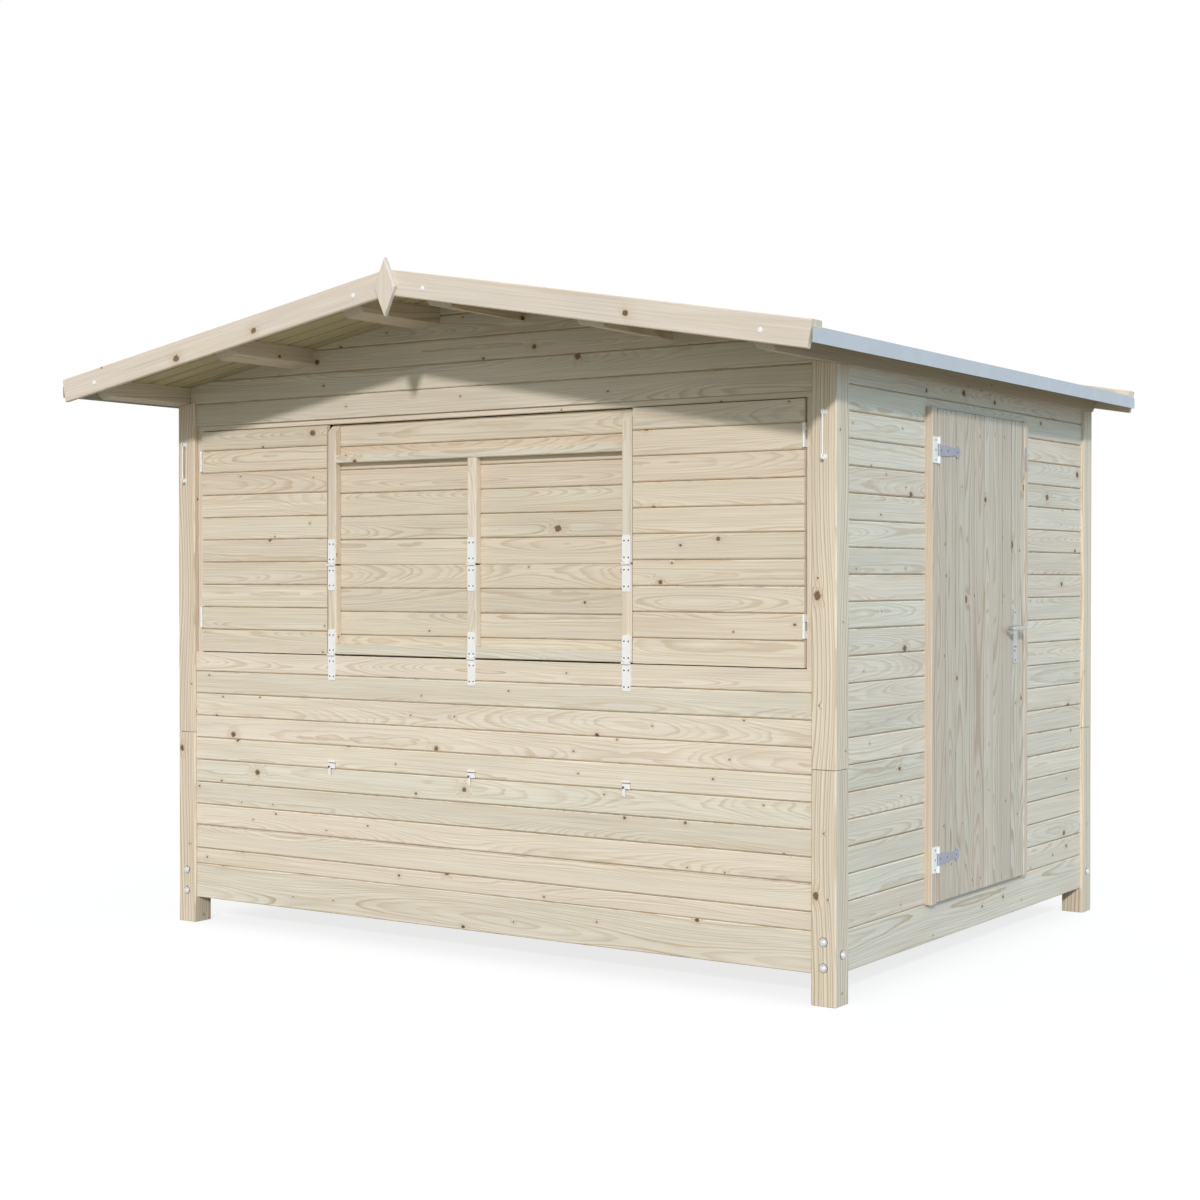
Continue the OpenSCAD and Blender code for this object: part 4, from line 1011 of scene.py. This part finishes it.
set_piece(bolt_shade_discs, "post_bolt_shade_discs", dark_steel_and_shade, "hut", "zinc")
set_piece(bolts, "post_bolts", bolt_zinc, "hut", "zinc")

screw_outline = [(0.0088, -0.001), (0.0088, 0.0008), (0.0078, 0.002),
                 (0.0048, 0.003), (0.003, 0.0032), (0.0024, 0.001)]
screw_drop = 0.052
screws = new_stack()
low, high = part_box("left_barge_boards")
for side in (-1, 1):
    for along in (0.165, 1.48):
        for y, out in ((low.y, -BACK), (high.y, BACK)):
            place = Vector((0, y, high.z)) + down_roof(side) * along - out_of_roof(side) * screw_drop
            add_turned(screws, place, out, screw_outline, 14)
set_piece(screws, "barge_screws", zinc, "hut", "zinc")


# Turn hooks: small plates on the lower front wall, each with a rolled upper edge and a hanging tongue.
# The tongue turns on a dark rivet and holds the foot of the prop leaf when the hatch is open.
low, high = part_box("turn_hooks")
hook_middle = (low.z + high.z) / 2
hook_wide = 0.032
plate_section = eased_section(0.019, 0.002, 0.0006)
shade_back_section = eased_section(0.026, 0.001, 0.0002)
tongue_section = eased_section(0.011, 0.003, 0.0006)
roll = 0.004
roll_turns = [math.pi * k / 5 for k in range(10)]
roll_section = [(roll * math.sin(turn), roll * math.cos(turn) - roll) for turn in roll_turns]
rivet_outline = [(0.003, -0.001), (0.003, 0.006), (0.0046, 0.006), (0.004, 0.0085), (0.002, 0.0095)]
hooks = new_stack()
hook_shade_backs = new_stack()
rivets = new_stack()
for x in (-batten_x, 0.0, batten_x):
    left = x - hook_wide / 2
    # A thin dark back plate behind each plate and roll is painted shade in the gap between them.
    back = Vector((left, high.y - 0.001, hook_middle))
    add_bar(hook_shade_backs, back, front_axes, shade_back_section, 0.0, hook_wide)
    plate = Vector((left, high.y - 0.003, hook_middle))
    add_bar(hooks, plate, front_axes, plate_section, 0.0, hook_wide, 0.0006)
    rolled = Vector((left, high.y - 0.008, high.z - roll))
    add_bar(hooks, rolled, front_axes, roll_section, 0.0, hook_wide, 0.0005)
    pivot = Vector((x - 0.008, high.y - 0.003, hook_middle + 0.006))
    tip = (Vector((x - 0.006, 0, low.z + 0.005)), Vector((-0.5, 0, -1)).normalized())
    tongue = Vector((x - 0.0125, high.y - 0.009, low.z))
    add_bar(hooks, tongue, upright_axes, tongue_section, 0.0, pivot.z + 0.005 - low.z, cuts=[tip])
    add_turned(rivets, pivot, -BACK, rivet_outline, 14)
set_piece(hooks, "turn_hook_plates", zinc, "hut", "zinc", "turn_hooks")
set_piece(hook_shade_backs, "turn_hook_shade_backs", dark_steel_and_shade, "hut", "zinc")
set_piece(rivets, "turn_hook_rivets", dark_steel_and_shade, "hut", "zinc")


# Small screws: dark steel heads in the leaves of the hinges and in the plate of the handle.
# They are sunk in the steel, so only a shallow head stands out.
head_outline = [(0.0031, -0.0008), (0.0031, 0.0004), (0.0024, 0.0009), (0.001, 0.0011), (0.0008, 0.0005)]
leaf_face = batten_front - 0.003
hinge_screws = {"hut": [], "counter": [], "prop": [], "door": []}
sill_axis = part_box("front_lower_wall")[1].z
fold_axis = (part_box("counter_boards")[1].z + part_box("prop_boards")[0].z) / 2
for x in (-batten_x, 0.0, batten_x):
    for spread in (-0.009, 0.009):
        for reach in (0.021, 0.078):
            hinge_screws["hut"].append((Vector((x + spread, leaf_face, sill_axis - reach)), -BACK))
            hinge_screws["counter"].append((Vector((x + spread, leaf_face, sill_axis + reach)), -BACK))
            hinge_screws["counter"].append((Vector((x + spread, leaf_face, fold_axis - reach)), -BACK))
            hinge_screws["prop"].append((Vector((x + spread, leaf_face, fold_axis + reach)), -BACK))
low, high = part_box("door_hinge_straps")
strap_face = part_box("door_leaf")[1].x + 0.003
strap_tall = 0.042
for z in (low.z + strap_tall / 2, high.z - strap_tall / 2):
    for rise in (-0.034, 0.0, 0.034):
        hinge_screws["hut"].append((Vector((strap_face, low.y - 0.017, z + rise)), RIGHT))
    for reach in (0.028, 0.085, 0.163):
        hinge_screws["door"].append((Vector((strap_face, low.y + reach, z)), RIGHT))
low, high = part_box("door_handle")
for z in (low.z + 0.012, high.z - 0.012):
    hinge_screws["door"].append((Vector((strap_face, high.y - 0.021, z)), RIGHT))
hinge_screws["door"].append((Vector((strap_face + 0.003, high.y - 0.021, high.z - 0.14)), RIGHT))
for body, places in hinge_screws.items():
    screws = new_stack()
    for place, out in places:
        add_turned(screws, place, out, head_outline, 10)
    set_piece(screws, body + "_hinge_screws", dark_steel_and_shade, body, "zinc")


# Ground and backdrop: a plain white studio floor that fades into a white room.
# For the camera it is white with the hut's soft shadow, for the light it throws back it is a pale grey.
def seen_directly(tree):
    """1 for what the camera sees straight, mirrored or through glass, 0 for light that bounces."""
    path = put(tree, "ShaderNodeLightPath").outputs
    seen = calc(tree, "ADD", path["Is Camera Ray"], path["Is Glossy Ray"])
    seen = calc(tree, "ADD", seen, path["Is Transmission Ray"])
    return calc(tree, "MINIMUM", seen, 1.0)


floor_mesh = bpy.data.meshes.new("studio_floor")
far = 90.0
floor_mesh.from_pydata([(-far, -far, 0), (far, -far, 0), (far, far, 0), (-far, far, 0)], [], [(0, 1, 2, 3)])
studio_floor = bpy.data.objects.new("studio_floor", floor_mesh)
bpy.context.scene.collection.objects.link(studio_floor)
white_floor = bpy.data.materials.new("white_floor")
white_floor.use_nodes = True
tree = white_floor.node_tree
tree.nodes.clear()
pale = put(tree, "ShaderNodeBsdfDiffuse", [("Color", (0.9, 0.9, 0.9, 1))]).outputs[0]
glow = put(tree, "ShaderNodeEmission", [("Color", (1, 1, 1, 1)), ("Strength", 1.1)]).outputs[0]
bounce = put(tree, "ShaderNodeBsdfDiffuse", [("Color", (0.30, 0.285, 0.25, 1))]).outputs[0]
spot = put(tree, "ShaderNodeTexCoord").outputs["Object"]
distance = put(tree, "ShaderNodeVectorMath", [(0, spot)], operation="LENGTH").outputs["Value"]
fade = calc(tree, "MULTIPLY_ADD", ease_in(tree, distance, 2.2, 6.0), 0.28, 0.72)
shown = put(tree, "ShaderNodeMixShader", [(0, fade), (1, pale), (2, glow)]).outputs[0]
mixed = put(tree, "ShaderNodeMixShader", [(0, seen_directly(tree)), (1, bounce), (2, shown)]).outputs[0]
feed(tree, put(tree, "ShaderNodeOutputMaterial").inputs["Surface"], mixed)
floor_mesh.materials.append(white_floor)

world = bpy.data.worlds.new("white_room")
bpy.context.scene.world = world
world.use_nodes = True
tree = world.node_tree
tree.nodes.clear()
room = put(tree, "ShaderNodeBackground", [("Color", (0.885, 0.98, 0.98, 1)), ("Strength", 0.70)]).outputs[0]
white = put(tree, "ShaderNodeBackground", [("Color", (1, 1, 1, 1)), ("Strength", 1.0)]).outputs[0]
mixed = put(tree, "ShaderNodeMixShader", [(0, seen_directly(tree)), (1, room), (2, white)]).outputs[0]
feed(tree, put(tree, "ShaderNodeOutputWorld").inputs["Surface"], mixed)

for name, energy, colour, spread, travel in (
        ("key_light", 1.93, (1.0, 0.965, 0.985), 3.0, (-0.45, 0.81, -0.38)),
        ("cool_fill", 0.69, (0.12, 0.53, 1.0), 50.0, (-0.95, -0.05, -0.3))):
    lamp_data = bpy.data.lights.new(name, "SUN")
    lamp_data.energy = energy
    lamp_data.color = colour
    lamp_data.angle = math.radians(spread)
    lamp = bpy.data.objects.new(name, lamp_data)
    bpy.context.scene.collection.objects.link(lamp)
    lamp.rotation_euler = Vector(travel).to_track_quat("-Z", "Y").to_euler()


# Camera: at standing height before the right front corner, looking almost level.
# It stands where the photographer stood: its place and lens were solved from the board lines.
camera_data = bpy.data.cameras.new("camera")
camera_data.sensor_width = 36.0
camera_data.lens = 59.837
camera = bpy.data.objects.new("camera", camera_data)
bpy.context.scene.collection.objects.link(camera)
camera.location = (4.3920, lower_low.y - 5.6690, 1.3737)
camera.rotation_euler = (math.radians(90 - 0.657), 0, math.radians(34.025))
bpy.context.scene.camera = camera
bpy.context.scene.view_settings.view_transform = "Standard"
